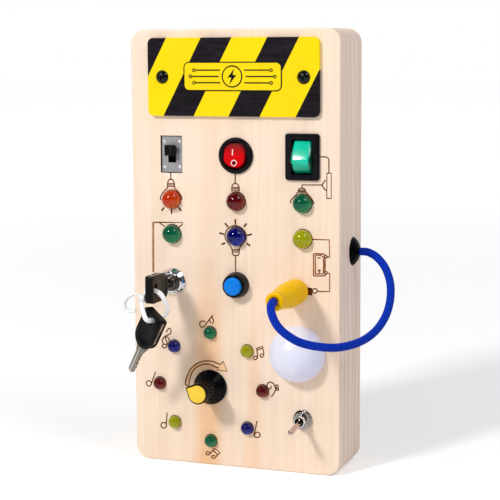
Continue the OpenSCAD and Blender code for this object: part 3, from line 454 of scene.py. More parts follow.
@dataclass(frozen=True)
class Ply:
    """Birch plywood: a fine vertical figure on its faces and dark plies at its edges."""

    name: str = "plywood"
    face: str = "#f0d4aa"
    figure: str = "#dbb98a"
    edge: str = "#a87a4b"
    plies_per_metre: float = 1100.0

    def make(self) -> bpy.types.Material:
        """Builds the material.

        Returns:
            The material.
        """
        sheet = Sheet(self.name).set(Roughness=0.62, Specular_IOR_Level=0.3)
        figure = sheet.noise(sheet.place((60, 60, 4)), 1.0, 5.0)
        pores = sheet.noise(sheet.place((700, 700, 60)), 1.0, 2.0)
        ply = sheet.math("FRACT", sheet.parts(sheet.place((1, self.plies_per_metre, 1)))[1])
        on_edge = sheet.math("SUBTRACT", 1.0, sheet.math("ABSOLUTE", sheet.facing()[1]), True)
        plies = sheet.math("MULTIPLY", on_edge, sheet.remap(ply, 0.45, 0.55, 0.0, 0.8))
        shade = sheet.blend(sheet.remap(figure, 0.3, 0.7, 0.0, 0.7), linear(self.face), linear(self.figure))
        shade = sheet.blend(sheet.remap(pores, 0.55, 0.75, 0.0, 0.3), shade, linear(self.edge))
        sheet.join(sheet.blend(plies, shade, linear(self.edge)), "Base Color")
        sheet.join(sheet.remap(figure, 0.3, 0.7, 0.55, 0.7), "Roughness")
        sheet.bump(pores, 0.3, 0.0001)
        return sheet.material


def worn_down(colour: str, share: float, lift: float = 0.0) -> Tuple[float, float, float, float]:
    """A colour made darker, for a worn patch.

    Args:
        colour: "#rrggbb".
        share: of its light that stays.
        lift: light added to it.

    Returns:
        Red, green, blue and alpha in linear light.
    """
    return tuple(min(1.0, c * share + lift) for c in linear(colour)[:3]) + (1.0,)


@dataclass(frozen=True)
class Plastic:
    """Moulded plastic with a faint moulded texture, handling marks and an uneven gloss.

    Its foot is a painted shade that comes in beyond the first of two heights and fades by the second; its flank is
    another painted shade away from a middle, given with the distances between which it comes in. All are in
    millimetres.
    """

    name: str
    colour: str
    roughness: float = 0.32
    spread: float = 0.1
    grain: float = 0.25
    grain_size: float = 0.5
    coat: float = 0.0
    shine: float = 0.5
    glow: float = 0.0
    glow_depth: float = 1.0
    worn: str = ""
    foot: str = ""
    foot_shade_z: Pair = (0.0, 1.0)
    flank: str = ""
    flank_shade_x: Point = (0.0, 0.0, 1.0)

    def marks(self, sheet: Sheet, shade: Socket) -> Socket:
        """Adds printed marks; plain plastic has none. Args: the sheet, the colour. Returns: the colour."""
        return shade

    def make(self) -> bpy.types.Material:
        """Builds the material.

        Returns:
            The material.
        """
        sheet = Sheet(self.name).set(Specular_IOR_Level=self.shine, Coat_Weight=self.coat, Coat_Roughness=0.06)
        if self.glow:
            sheet.set(Subsurface_Weight=self.glow, Subsurface_Scale=self.glow_depth * MM,
                      Subsurface_Radius=(1.0, 1.0, 1.0))
        grain = sheet.noise(sheet.place(), 1000 / self.grain_size, 2.0)
        cloud = sheet.noise(sheet.place((1, 1, 1), (0.11, 0.37, 0.05)), 90.0, 4.0)
        rubbed = sheet.noise(sheet.place((1, 1, 1), (0.71, 0.13, 0.4)), 260.0, 5.0)
        worn = linear(self.worn) if self.worn else worn_down(self.colour, 0.86, 0.002)
        shade = sheet.blend(sheet.remap(cloud, 0.4, 0.75, 0.0, 0.6), linear(self.colour), worn)
        if self.foot or self.flank:
            x, _, z = sheet.millimetres()
        # Painted shade: darker beyond one height and away from a middle.
        if self.foot:
            shade = sheet.blend(sheet.remap(z, *self.foot_shade_z, 1.0, 0.0), shade, linear(self.foot))
        if self.flank:
            middle, start, full = self.flank_shade_x
            shade = sheet.blend(sheet.remap(sheet.off(x, middle), start, full, 0.0, 1.0), shade,
                                linear(self.flank))
        sheet.join(self.marks(sheet, shade), "Base Color")
        marks = sheet.math("ADD", sheet.remap(cloud, 0.3, 0.7, -0.5, 0.5),
                           sheet.remap(rubbed, 0.55, 0.75, 0.0, 0.6))
        sheet.join(sheet.math("ADD", sheet.math("MULTIPLY", marks, self.spread), self.roughness, True),
                   "Roughness")
        sheet.bump(grain, self.grain, 0.00004)
        return sheet.material


@dataclass(frozen=True)
class OnOffPlastic(Plastic):
    """Plastic of the round button, printed with a bar above and a ring below.

    The bar is x, z, half its width and half its height; the ring x, z, radius and half its line; the
    oval of painted shade the middle's x and z and the distances between which the dark edge comes in, in
    millimetres.
    """

    bar: Tuple[float, float, float, float] = (-0.1, 217.9, 0.36, 2.0)
    ring: Tuple[float, float, float, float] = (1.35, 210.75, 1.85, 0.28)
    shade_oval: Tuple[float, float, float, float] = (1.2, 215.2, 7.9, 9.6)
    oval_narrow: float = 1.14
    ink: str = "#f3e9e6"
    heart: str = "#5e0408"
    blur: float = 0.06

    def stripe(self, sheet: Sheet, off: Socket, half: float) -> Socket:
        """A printed line with a slightly soft edge. Args: sheet, distance, half width. Returns: its share."""
        return sheet.remap(off, half - self.blur, half + self.blur, 1.0, 0.0)

    def marks(self, sheet: Sheet, shade: Socket) -> Socket:
        """Prints the bar and the ring.

        Args:
            sheet: the material's node sheet.
            shade: colour of the bare plastic.

        Returns:
            The colour with its marks.
        """
        x, y, z = sheet.millimetres()
        bar_x, bar_z, bar_half, bar_reach = self.bar
        bar = sheet.math("MULTIPLY", self.stripe(sheet, sheet.off(x, bar_x), bar_half),
                         self.stripe(sheet, sheet.off(z, bar_z), bar_reach))
        ring_x, ring_z, radius, line_half = self.ring
        away = sheet.length(sheet.math("SUBTRACT", x, ring_x), sheet.math("SUBTRACT", z, ring_z))
        shade = sheet.blend(sheet.remap(away, radius - 0.6, radius - 0.2, 0.85, 0.0), shade, linear(self.heart))
        oval_x, oval_z, start, full = self.shade_oval
        wide = sheet.math("MULTIPLY", sheet.math("SUBTRACT", x, oval_x), self.oval_narrow)
        reach = sheet.length(wide, sheet.math("SUBTRACT", z, oval_z))
        # Painted shade: the button darkens out towards its rim from an oval round its middle.
        shade = sheet.blend(sheet.remap(reach, start, full, 0.0, 0.9), shade, linear(self.foot))
        rim = self.stripe(sheet, sheet.off(away, radius), line_half)
        printed = sheet.math("MULTIPLY", sheet.math("MAXIMUM", bar, rim),
                             sheet.math("LESS_THAN", y, BOARD.face))
        return sheet.blend(printed, shade, linear(self.ink))


@dataclass(frozen=True)
class Metal:
    """Plated or bare metal, polished or brushed along one axis, with fine scratches."""

    name: str
    colour: str
    tarnish: str
    roughness: float = 0.2
    scratches: float = 0.15
    brushed: Optional[Axis] = None
    metallic: float = 1.0

    def make(self) -> bpy.types.Material:
        """Builds the material.

        Returns:
            The material.
        """
        sheet = Sheet(self.name).set(Metallic=self.metallic)
        stretch = [420.0] * 3
        if self.brushed is not None:
            stretch = [2600.0] * 3
            stretch[self.brushed.value] = 60.0
        lines = sheet.noise(sheet.place(tuple(stretch)), 1.0, 3.0)
        cloud = sheet.noise(sheet.place((1, 1, 1), (0.2, 0.5, 0.3)), 110.0, 4.0)
        sheet.join(sheet.blend(sheet.remap(cloud, 0.4, 0.75, 0.0, 0.7), linear(self.colour),
                               linear(self.tarnish)),
                   "Base Color")
        rough = sheet.math("ADD", sheet.math("MULTIPLY", sheet.math("SUBTRACT", lines, 0.5), self.scratches),
                           sheet.remap(cloud, 0.3, 0.7, self.roughness * 0.8, self.roughness * 1.3))
        sheet.join(sheet.math("MAXIMUM", rough, 0.03), "Roughness")
        sheet.bump(lines, 0.25 if self.brushed is not None else 0.06, 0.00003)
        return sheet.material


@dataclass(frozen=True)
class Lens:
    """Clear lamp lens: a glassy skin over a coloured body, paler near the panel and paler still towards its lower
    right as painted light.
    """

    name: str
    colour: str
    # pale is the colour of the painted glow.
    pale: str
    place: Pair = (0.0, 0.0)
    radius: float = 6.1
    clear: float = 0.12

    def make(self) -> bpy.types.Material:
        """Builds the material.

        Returns:
            The material.
        """
        sheet = Sheet(self.name).set(Specular_IOR_Level=0.12, Coat_Weight=0.45, Coat_Roughness=0.04,
                                     Transmission_Weight=self.clear, IOR=1.5)
        x, y, z = sheet.parts(sheet.place((1 / (self.radius * MM),) * 3,
                                          (-self.place[0] * MM, -BOARD.face * MM, -self.place[1] * MM)))
        foot = sheet.math("SUBTRACT", 1.0, sheet.math("ABSOLUTE", y), True)
        # Painted light: the body pales near the panel and more towards its lower right, as if lit through from the
        # upper left.
        glow_low_right = sheet.math("SUBTRACT", sheet.math("MULTIPLY", x, 0.6), sheet.math("MULTIPLY", z, 0.8))
        cloud = sheet.noise(sheet.place(), 500.0, 3.0)
        painted_glow = sheet.math("ADD", sheet.remap(foot, 0.6, 1.0, 0.0, 0.12),
                           sheet.remap(cloud, 0.3, 0.7, 0.0, 0.02))
        painted_glow = sheet.math("ADD", painted_glow, sheet.remap(glow_low_right, 0.1, 0.8, 0.0, 0.6), True)
        sheet.join(sheet.blend(painted_glow, linear(self.colour), linear(self.pale)), "Base Color")
        sheet.join(sheet.remap(cloud, 0.3, 0.7, 0.05, 0.07), "Roughness")
        sheet.bump(cloud, 0.03, 0.00003)
        return sheet.material


@dataclass(frozen=True)
class HazardPaint:
    """Painted wood with slanted yellow and black bands; the black lets the wood's figure through."""

    name: str = "hazard_paint"
    yellow: str = "#fcde08"
    dull: str = "#f2d20c"
    black: str = "#100b12"
    grey: str = "#29232b"
    pitch: float = 47.25
    band: float = 22.1
    first: float = -24.95
    lean: float = 0.5286

    def make(self) -> bpy.types.Material:
        """Builds the material.

        Returns:
            The material.
        """
        sheet = Sheet(self.name).set(Specular_IOR_Level=0.12)
        x, _, z = sheet.millimetres((0, 0, -BOARD.sign * MM))
        slanted = sheet.math("SUBTRACT", x, sheet.math("MULTIPLY", z, self.lean))
        start = self.first - self.band / 2
        turns = sheet.math("DIVIDE", sheet.math("SUBTRACT", slanted, start), self.pitch)
        across = sheet.math("MULTIPLY", sheet.math("FRACT", turns), self.pitch)
        inside = sheet.math("MINIMUM", sheet.remap(across, 0.0, 0.12, 0.0, 1.0),
                            sheet.remap(across, self.band, self.band + 0.12, 1.0, 0.0))
        figure = sheet.noise(sheet.place((60, 60, 420)), 1.0, 5.0)
        fleck = sheet.noise(sheet.place(), 900.0, 3.0)
        cloud = sheet.noise(sheet.place(), 60.0, 3.0)
        dark = sheet.blend(sheet.remap(sheet.math("MULTIPLY", figure, fleck), 0.2, 0.42, 0.0, 0.85),
                           linear(self.black), linear(self.grey))
        bright = sheet.blend(sheet.remap(cloud, 0.35, 0.7, 0.0, 0.35), linear(self.yellow), linear(self.dull))
        sheet.join(sheet.blend(inside, bright, dark), "Base Color")
        sheet.join(sheet.math("ADD", sheet.math("MULTIPLY", inside, 0.18),
                              sheet.remap(cloud, 0.3, 0.7, 0.36, 0.46)),
                   "Roughness")
        sheet.bump(sheet.math("ADD", sheet.math("MULTIPLY", figure, inside),
                              sheet.math("MULTIPLY", cloud, 0.4)),
                   0.3, 0.0001)
        return sheet.material


@dataclass(frozen=True)
class Braid:
    """Woven cord sleeve, read from the cord's own UV map: u runs round it and v along it."""

    name: str = "blue_braid"
    light: str = "#083cc8"
    dark: str = "#02157c"
    fuzz: str = "#1c58ea"
    strands: float = 8.0
    pitch: float = 330.0

    def make(self) -> bpy.types.Material:
        """Builds the material.

        Returns:
            The material.
        """
        sheet = Sheet(self.name).set(Roughness=0.6, Sheen_Weight=0.02, Sheen_Roughness=0.4,
                                     Specular_IOR_Level=0.05)
        u, v, _ = sheet.parts(sheet.node("TexCoord").outputs["UV"])
        around = sheet.math("MULTIPLY", u, self.strands)
        along = sheet.math("MULTIPLY", v, self.pitch)
        lays = [sheet.math("ABSOLUTE", sheet.math("SINE", sheet.math("MULTIPLY", turns, math.pi)))
                for turns in (sheet.math("ADD", around, along), sheet.math("SUBTRACT", around, along))]
        height = sheet.math("POWER", sheet.math("MULTIPLY", *lays), 0.5)
        fuzz = sheet.noise(sheet.place(), 2400.0, 2.0)
        # Painted shade: the hollows of the weave are darker than its raised strands.
        shade = sheet.blend(sheet.remap(height, 0.25, 0.9, 0.0, 1.0), linear(self.dark), linear(self.light))
        shade = sheet.blend(sheet.remap(fuzz, 0.4, 0.7, 0.0, 0.25), shade, linear(self.fuzz))
        sheet.join(shade, "Base Color")
        sheet.join(sheet.remap(fuzz, 0.3, 0.7, 0.5, 0.72), "Roughness")
        sheet.bump(height, 0.7, 0.0003)
        return sheet.material


@dataclass(frozen=True)
class CircuitGreen:
    """Solder-masked board: green with fine copper tracks, black packages behind."""

    name: str = "circuit_green"
    mask: str = "#17633a"
    track: str = "#3f9a5c"
    weave: str = "#0e4a2a"
    package: str = "#17181b"
    back: float = 23.65

    def make(self) -> bpy.types.Material:
        """Builds the material.

        Returns:
            The material.
        """
        sheet = Sheet(self.name).set(Roughness=0.35, Coat_Weight=0.3)
        bare = (0, 0, 0, 1)
        cells = sheet.node("TexBrick",
                           {"Vector": sheet.place((160, 160, 160)), "Scale": 1.0, "Mortar Size": 0.03,
                                        "Color1": bare, "Color2": bare, "Mortar": (1, 1, 1, 1)})
        weave = sheet.noise(sheet.place(), 900.0, 2.0)
        shade = sheet.blend(cells.outputs[0], linear(self.mask), linear(self.track))
        shade = sheet.blend(sheet.remap(weave, 0.4, 0.7, 0.0, 0.2), shade, linear(self.weave))
        behind = sheet.math("GREATER_THAN", sheet.millimetres()[1], BOARD.face + self.back)
        sheet.join(sheet.blend(behind, shade, linear(self.package)), "Base Color")
        sheet.join(sheet.remap(weave, 0.3, 0.7, 0.3, 0.45), "Roughness")
        sheet.bump(cells.outputs[0], 0.2, 0.00005)
        return sheet.material


@dataclass(frozen=True)
class Milky:
    """Cloudy white plastic that light sinks into, such as a lamp cover or a nylon strap; its glow is painted
    light, given as emission.
    """

    name: str
    colour: str
    depth: float = 4.0
    roughness: float = 0.35
    clear: float = 0.0
    glow: str = "#000000"

    def make(self) -> bpy.types.Material:
        """Builds the material.

        Returns:
            The material.
        """
        sheet = Sheet(self.name).set(Emission_Color=linear(self.glow), Emission_Strength=1.0,
                                     Subsurface_Weight=0.6, Subsurface_Scale=self.depth * MM,
                                     Subsurface_Radius=(1.0, 1.0, 1.0), Transmission_Weight=self.clear,
                                     IOR=1.46)
        cloud = sheet.noise(sheet.place(), 70.0, 3.0)
        skin = sheet.noise(sheet.place(), 1400.0, 2.0)
        sheet.join(sheet.blend(sheet.remap(cloud, 0.4, 0.7, 0.0, 1.0), linear(self.colour),
                               worn_down(self.colour, 0.94)), "Base Color")
        sheet.join(sheet.remap(cloud, 0.3, 0.7, self.roughness * 0.85, self.roughness * 1.2), "Roughness")
        sheet.bump(skin, 0.12, 0.00003)
        return sheet.material


_MADE: dict = {}


def material(finish: Finish) -> bpy.types.Material:
    """The material of a finish, built once.

    Args:
        finish: the finish.

    Returns:
        Its material.
    """
    if finish.name not in _MADE:
        _MADE[finish.name] = finish.make()
    return _MADE[finish.name]


PINE = Pine()
BURNT = Burnt("burnt_line", "#40200c", "#86491c")
SCORCHED = Burnt("scorched_line", "#6c3610", "#ac6a2c")
BROWNED = Burnt("browned_line", "#8a5a30", "#bd8f5a")
TOASTED = Burnt("toasted_fill", "#fac794", "#ffd9b0", 300.0)
PLY = Ply()
ZINC = Metal("zinc", "#c9ccd2", "#9a9da3", 0.28)
NICKEL = Metal("nickel", "#d6d3cc", "#a8a49b", 0.18, 0.1)
CHROME = Metal("chrome", "#e6e8ea", "#c9ccd0", 0.06, 0.05)
NUT_ZINC = Metal("nut_zinc", "#a8a4a0", "#837e7a", 0.1, 0.08)
# The lever's pinkish tint is a painted reflection of the wood.
LEVER_WOOD_REFLECTION = Metal("lever_wood_reflection", "#cfbab2", "#b5a19a", 0.14, 0.06)
CORE = Metal("lock_core", "#6b6560", "#4a443e", 0.3, 0.2, Axis.Y)
KEY_STEEL = Metal("key_steel", "#98928b", "#6a645e", 0.24, 0.25, Axis.Z)
# The groove floors are painted near-white: a painted highlight along the key's grooves.
GROOVE_GLINT = Metal("groove_glint", "#f0ece6", "#d8d3cc", 0.3, 0.1, metallic=0.35)
SWITCH_STEEL = Metal("switch_steel", "#b4b2b5", "#9a979a", 0.55, 0.2, Axis.Z)
# The dimples are painted near-white: painted highlights.
DIMPLE_HIGHLIGHT = Metal("dimple_highlight", "#f4f3f2", "#e4e3e2", 0.3, 0.05, metallic=0.3)
BRASS = Metal("brass", "#d9c07a", "#b0955a", 0.2, 0.15, Axis.Y)
SPRING_PLATE = Metal("spring_plate", "#cfd0d2", "#a7a8ab", 0.25, 0.12)
BLACK_CASE = Plastic("black_case", "#0f0c13", 0.3, 0.12, 0.35, 0.35, shine=0.12)
BLACK_GLOSS = Plastic("black_gloss", "#060508", 0.2, 0.1, 0.12, 0.6, shine=0.16)
KNOB_BLACK = Plastic("knob_black", "#040307", 0.24, 0.08, 0.1, 0.6, shine=0.08)
KEY_BLACK = Plastic("key_black", "#0a080c", 0.3, 0.12, 0.2, shine=0.13)
BLACK_DOOR = Plastic("black_door", "#18181b", 0.45, 0.1, 0.6, 0.4, shine=0.25)
BLACK_SCREW = Plastic("black_screw", "#020204", 0.12, 0.05, 0.05, shine=0.35)
RUBBER = Plastic("rubber_black", "#040406", 0.3, 0.1, 0.2, shine=0.03)
# Black for the toggle's bore: painted shade down the hole.
BORE_SHADE = Plastic("bore_shade", "#030304", 0.5, 0.1, 0.2, shine=0.1)
PHENOLIC = Plastic("phenolic", "#3a2415", 0.5, 0.1, 0.4, shine=0.3)
SLEEVE = Plastic("cell_sleeve", "#2f6f4f", 0.3, 0.1, 0.1, coat=0.3)
# Painted shadow on the red button: darker across its pressed-in top, where the bezel's rim shades it, and down its
# sides.
RED_ROCKER = OnOffPlastic("red_rocker", "#d8060f", 0.4, 0.1, 0.08, 0.6, shine=0.05, glow=0.1, glow_depth=0.8,
                          worn="#c0050d", foot="#3c0104", foot_shade_z=(226.0, 215.5), flank="#3c0104",
                          flank_shade_x=(BOARD.middle - 0.7, 6.6, 9.3))
# Painted shade on the green paddle: darker towards its bottom and down its sides.
GREEN_ROCKER = Plastic("green_rocker", "#00cbaa", 0.2, 0.06, 0.06, 0.8, coat=0.5, shine=0.2, glow=0.15,
                       worn="#0cb486", foot="#036845", foot_shade_z=(203.5, 212.0), flank="#024a32",
                       flank_shade_x=(BOARD.right, 5.3, 6.3))
BLUE_CAP = Plastic("blue_cap", "#0583ec", 0.3, 0.1, 0.25, 0.4, shine=0.15, glow=0.1, worn="#0474da")
PLUG_YELLOW = Plastic("plug_yellow", "#fac400", 0.32, 0.12, 0.2, 0.6, shine=0.08, glow=0.1, worn="#f6bf01")
POINTER_YELLOW = Plastic("pointer_yellow", "#fcd445", 0.4, 0.1, 0.3, shine=0.25, glow=0.1, worn="#f6c93a")
SPACER = Plastic("spacer", "#efe9dc", 0.4, 0.1, 0.3)
# The dome and the strap get a faint emitted glow, painted light: blue on the dome, grey on the strap.
DOME_WHITE = Milky("dome_white", "#f6f9ff", 5.0, 0.3, glow="#000550")
LAMP_BASE = Milky("lamp_base", "#e8e8e0", 2.0, 0.4)
STRAP_WHITE = Milky("strap_white", "#fcfdff", 2.5, 0.3, 0.05, "#2e3034")
HAZARD = HazardPaint()
BADGE_YELLOW = Plastic("badge_yellow", "#fbdd0c", 0.36, 0.1, 0.15, shine=0.15, worn="#f3d109")
BADGE_BLACK = Plastic("badge_black", "#0e0b11", 0.4, 0.1, 0.2, shine=0.12)
BRAID = Braid()
CIRCUIT = CircuitGreen()


# ---- the workbench

class Part(Enum):
    """What is picked from a mesh."""

    POINTS = "VERT"
    EDGES = "EDGE"


class Bench:
    """Modelling by hand: one mesh at a time, in edit mode, then set down on its body."""

    @staticmethod
    def clear() -> None:
        """Leaves edit mode and deselects everything."""
        if bpy.context.object is not None and bpy.context.object.mode != "OBJECT":
            bpy.ops.object.mode_set(mode="OBJECT")
        for other in list(bpy.context.selected_objects):
            other.select_set(False)

    @staticmethod
    def take(piece: Piece) -> Piece:
        """Makes a piece the only selected one.

        Args:
            piece: the piece.

        Returns:
            The piece.
        """
        Bench.clear()
        piece.hide_viewport = False
        piece.select_set(True)
        bpy.context.view_layer.objects.active = piece
        return piece

    @staticmethod
    def add(name: str, data: bpy.types.ID) -> Piece:
        """Puts a mesh, a curve, a lamp or a camera into the scene.

        Args:
            name: its name.
            data: what it holds.

        Returns:
            The object.
        """
        made = bpy.data.objects.new(name, data)
        bpy.context.scene.collection.objects.link(made)
        return made

    @staticmethod
    @contextmanager
    def editing(piece: Piece) -> Iterator[None]:
        """Holds a piece in edit mode with all of it selected, until the block's end.

        Args:
            piece: the mesh.
        """
        Bench.take(piece)
        bpy.ops.object.mode_set(mode="EDIT")
        bpy.ops.mesh.select_all(action="SELECT")
        yield
        bpy.ops.object.mode_set(mode="OBJECT")

    @staticmethod
    @contextmanager
    def picking(piece: Piece, part: Part, rule: Callable[..., bool]) -> Iterator[None]:
        """Holds a piece in edit mode with only what a rule picks, until the block's end.

        Args:
            piece: the mesh.
            part: whether points or edges are picked.
            rule: told a point's place or an edge's two ends, says whether it is picked.
        """
        Bench.take(piece)
        bpy.ops.object.mode_set(mode="EDIT")
        bpy.ops.mesh.select_mode(type=part.value)
        bpy.ops.mesh.select_all(action="DESELECT")
        bpy.ops.object.mode_set(mode="OBJECT")
        mesh = piece.data
        if part is Part.POINTS:
            for vertex in mesh.vertices:
                vertex.select = rule(vertex.co)
        else:
            for edge in mesh.edges:
                edge.select = rule(*(mesh.vertices[k].co for k in edge.vertices))
        bpy.ops.object.mode_set(mode="EDIT")
        yield
        bpy.ops.object.mode_set(mode="OBJECT")

    @staticmethod
    def modify(piece: Piece, kind: str, **settings: object) -> None:
        """Adds a modifier with its settings and applies it.

        Args:
            piece: the mesh.
            kind: the modifier's type.
            settings: its properties.
        """
        Bench.take(piece)
        made = piece.modifiers.new(kind.title(), kind)
        for key, value in settings.items():
            setattr(made, key, value)
        bpy.ops.object.modifier_apply(modifier=made.name)

    @staticmethod
    def soften(piece: Piece, width: float, segments: int = 2, angle: float = 32.0) -> None:
        """Rounds the sharp edges of a piece.

        Args:
            piece: the mesh.
            width: of the rounding, in millimetres.
            segments: of the rounding.
            angle: edges sharper than this are rounded, in degrees.
        """
        Bench.modify(piece, "BEVEL", width=width * MM, segments=segments, limit_method="ANGLE",
                     angle_limit=math.radians(angle), use_clamp_overlap=True, miter_outer="MITER_ARC")

    @staticmethod
    def smooth(piece: Piece, angle: float = 35.0) -> None:
        """Shades a piece smooth, but for its sharp edges. Args: the mesh, the angle in degrees."""
        Bench.take(piece)
        bpy.ops.object.shade_smooth_by_angle(angle=math.radians(angle))

    @staticmethod
    def outward(piece: Piece) -> None:
        """Merges doubles and turns every face outwards.

        Args:
            piece: the mesh.
        """
        with Bench.editing(piece):
            bpy.ops.mesh.remove_doubles(threshold=1e-6)
            bpy.ops.mesh.normals_make_consistent(inside=False)

    @staticmethod
    def settle(piece: Piece) -> None:
        """Puts a piece's place, turn and size into its mesh. Args: the piece."""
        Bench.take(piece)
        bpy.ops.object.transform_apply(location=True, rotation=True, scale=True)

    @staticmethod
    def shift(piece: Piece, way: Point) -> None:
        """Moves a whole piece.

        Args:
            piece: the piece.
            way: the way in millimetres.
        """
        Bench.take(piece)
        bpy.ops.transform.translate(value=[w * MM for w in way])
        Bench.settle(piece)

    @staticmethod
    def even_shade(piece: Piece) -> None:
        """Lets the large faces of a smooth piece lead its shading. Args: the piece."""
        Bench.modify(piece, "WEIGHTED_NORMAL", mode="FACE_AREA", weight=100, keep_sharp=True)

    @staticmethod
    def join(pieces: Sequence[Piece]) -> Piece:
        """Joins pieces into the first.

        Args:
            pieces: the pieces.

        Returns:
            The first, with all meshes.
        """
        Bench.clear()
        for piece in pieces:
            piece.select_set(True)
        bpy.context.view_layer.objects.active = pieces[0]
        if len(pieces) > 1:
            bpy.ops.object.join()
        return pieces[0]

    @staticmethod
    def paint(piece: Piece, *finishes: Finish) -> None:
        """Gives a piece its materials, one for each finish.

        Args:
            piece: the piece.
            finishes: the finishes.
        """
        piece.data.materials.clear()
        for finish in finishes:
            piece.data.materials.append(material(finish))

    @staticmethod
    def copy_of(node: str, name: str) -> Piece:
        """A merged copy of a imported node's mesh, with its flat faces whole again.

        Args:
            node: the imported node.
            name: the piece's name.

        Returns:
            The new piece.
        """
        piece = Bench.add(name, frame["nodes"][node].data.copy())
        piece.data.name = name
        with Bench.editing(piece):
            bpy.ops.mesh.remove_doubles(threshold=2e-6)
            bpy.ops.mesh.dissolve_limited(angle_limit=math.radians(0.4), delimit={"NORMAL"})
        return piece

    @staticmethod
    def on_panel(piece: Piece, place: Pair) -> None:
        """Sets a piece made upright at the origin onto the front, its top pointing out.

        Args:
            piece: the mesh.
            place: x and z on the front, in millimetres.
        """
        piece.rotation_euler = (math.pi / 2, 0, 0)
        piece.location = (place[0] * MM, BOARD.face * MM, place[1] * MM)
        Bench.settle(piece)

    @staticmethod
    def turned(name: str, profile: Sequence[Pair], sides: int = 64) -> Piece:
        """A round piece, raised ring by ring as on a lathe, upright at the origin.

        Args:
            name: the piece's name.
            profile: radius and height of each ring, in millimetres. A radius of 0 closes an end.
            sides: round the piece.

        Returns:
            The mesh.
        """
        rings = list(profile)
        closed_start, closed_end = rings[0][0] <= 0, rings[-1][0] <= 0
        first = rings[1] if closed_start else rings[0]
        Bench.clear()
        bpy.ops.mesh.primitive_circle_add(vertices=sides, radius=first[0] * MM, fill_type="NOTHING",
                                          location=(0, 0, first[1] * MM))
        piece = bpy.context.object
        piece.name = name
        Bench.settle(piece)
        radius, height = first
        with Bench.picking(piece, Part.EDGES, lambda a, b: True):
            for ring_radius, ring_height in rings[(2 if closed_start else 1):(-1 if closed_end else len(rings))]:
                Bench.raise_edges(ring_height - height)
                share = ring_radius / radius
                bpy.ops.transform.resize(value=(share, share, 1), center_override=(0, 0, ring_height * MM))
                radius, height = ring_radius, ring_height
            if closed_end:
                Bench.raise_edges(rings[-1][1] - height)
                bpy.ops.mesh.merge(type="CENTER")
        if closed_start:
            with Bench.picking(piece, Part.EDGES, lambda *ends: all(
                    abs(p.z - first[1] * MM) < 1e-7 and abs(p.xy.length - first[0] * MM) < 1e-6 for p in ends)):
                Bench.raise_edges(rings[0][1] - first[1])
                bpy.ops.mesh.merge(type="CENTER")
        Bench.outward(piece)
        return piece

    @staticmethod
    def raise_edges(rise: float) -> None:
        """Pulls new faces up from the selected edges. Args: how far, in millimetres."""
        bpy.ops.mesh.extrude_edges_move(TRANSFORM_OT_translate={"value": (0, 0, rise * MM)})

    @staticmethod
    def block(name: str, centre: Point, size: Point, rounding: float = 0.0, segments: int = 3) -> Piece:
        """A block with rounded edges.

        Args:
            name: the piece's name.
            centre: in millimetres.
            size: in millimetres.
            rounding: of its edges, in millimetres.
            segments: of the rounding.

        Returns:
            The mesh.
        """
        Bench.clear()
        bpy.ops.mesh.primitive_cube_add(size=1, location=[c * MM for c in centre])
        piece = bpy.context.object
        piece.name = name
        piece.scale = [s * MM for s in size]
        Bench.settle(piece)
        if rounding:
            Bench.soften(piece, rounding, segments)
        return piece

    @staticmethod
    def cut_out(name: str, outline: Sequence[Vector], thick: float) -> Piece:
        """A flat piece cut to an outline, standing upright at y = 0 with half its thickness on either side.

        Args:
            name: the piece's name.
            outline: x and z of its corners, in millimetres.
            thick: in millimetres.

        Returns:
            The mesh.
        """
        Bench.clear()
        bpy.ops.mesh.primitive_circle_add(vertices=len(outline), radius=1, fill_type="NGON",
                                          rotation=(math.pi / 2, 0, 0))
        piece = bpy.context.object
        piece.name = name
        Bench.settle(piece)
        for vertex, corner in zip(piece.data.vertices, outline):
            vertex.co = (corner[0] * MM, -thick / 2 * MM, corner[1] * MM)
        with Bench.editing(piece):
            bpy.ops.mesh.extrude_region_move(TRANSFORM_OT_translate={"value": (0, thick * MM, 0)})
            bpy.ops.mesh.select_all(action="SELECT")
            bpy.ops.mesh.normals_make_consistent(inside=False)
        return piece

    @staticmethod
    def slice(piece: Piece, level: float, axis: Axis = Axis.X) -> None:
        """Adds an edge round a piece where it crosses a plane.

        Args:
            piece: the mesh.
            level: where the plane stands, in metres.
            axis: the plane is square to it.
        """
        across = tuple(1.0 if k == axis.value else 0.0 for k in range(3))
        with Bench.editing(piece):
            bpy.ops.mesh.bisect(plane_co=[level * c for c in across], plane_no=across, use_fill=False)

    @staticmethod
    def nudge(piece: Piece, rule: Callable[[Vector], bool], way: Point) -> None:
        """Moves the points of a piece that a rule picks.

        Args:
            piece: the mesh.
            rule: told a point's place, says whether it moves.
            way: in millimetres.
        """
        with Bench.picking(piece, Part.POINTS, rule):
            bpy.ops.transform.translate(value=[w * MM for w in way])

    @staticmethod
    def crease_round(piece: Piece, rule: Callable[[Vector, Vector], bool], width: float,
                     segments: int) -> None:
        """Rounds only the edges that a rule picks.

        Args:
            piece: the mesh.
            rule: told an edge's ends, says whether it is rounded.
            width: in millimetres.
            segments: of the rounding.
        """
        with Bench.picking(piece, Part.EDGES, rule):
            bpy.ops.mesh.bevel(offset=width * MM, segments=segments, affect="EDGES", clamp_overlap=True)

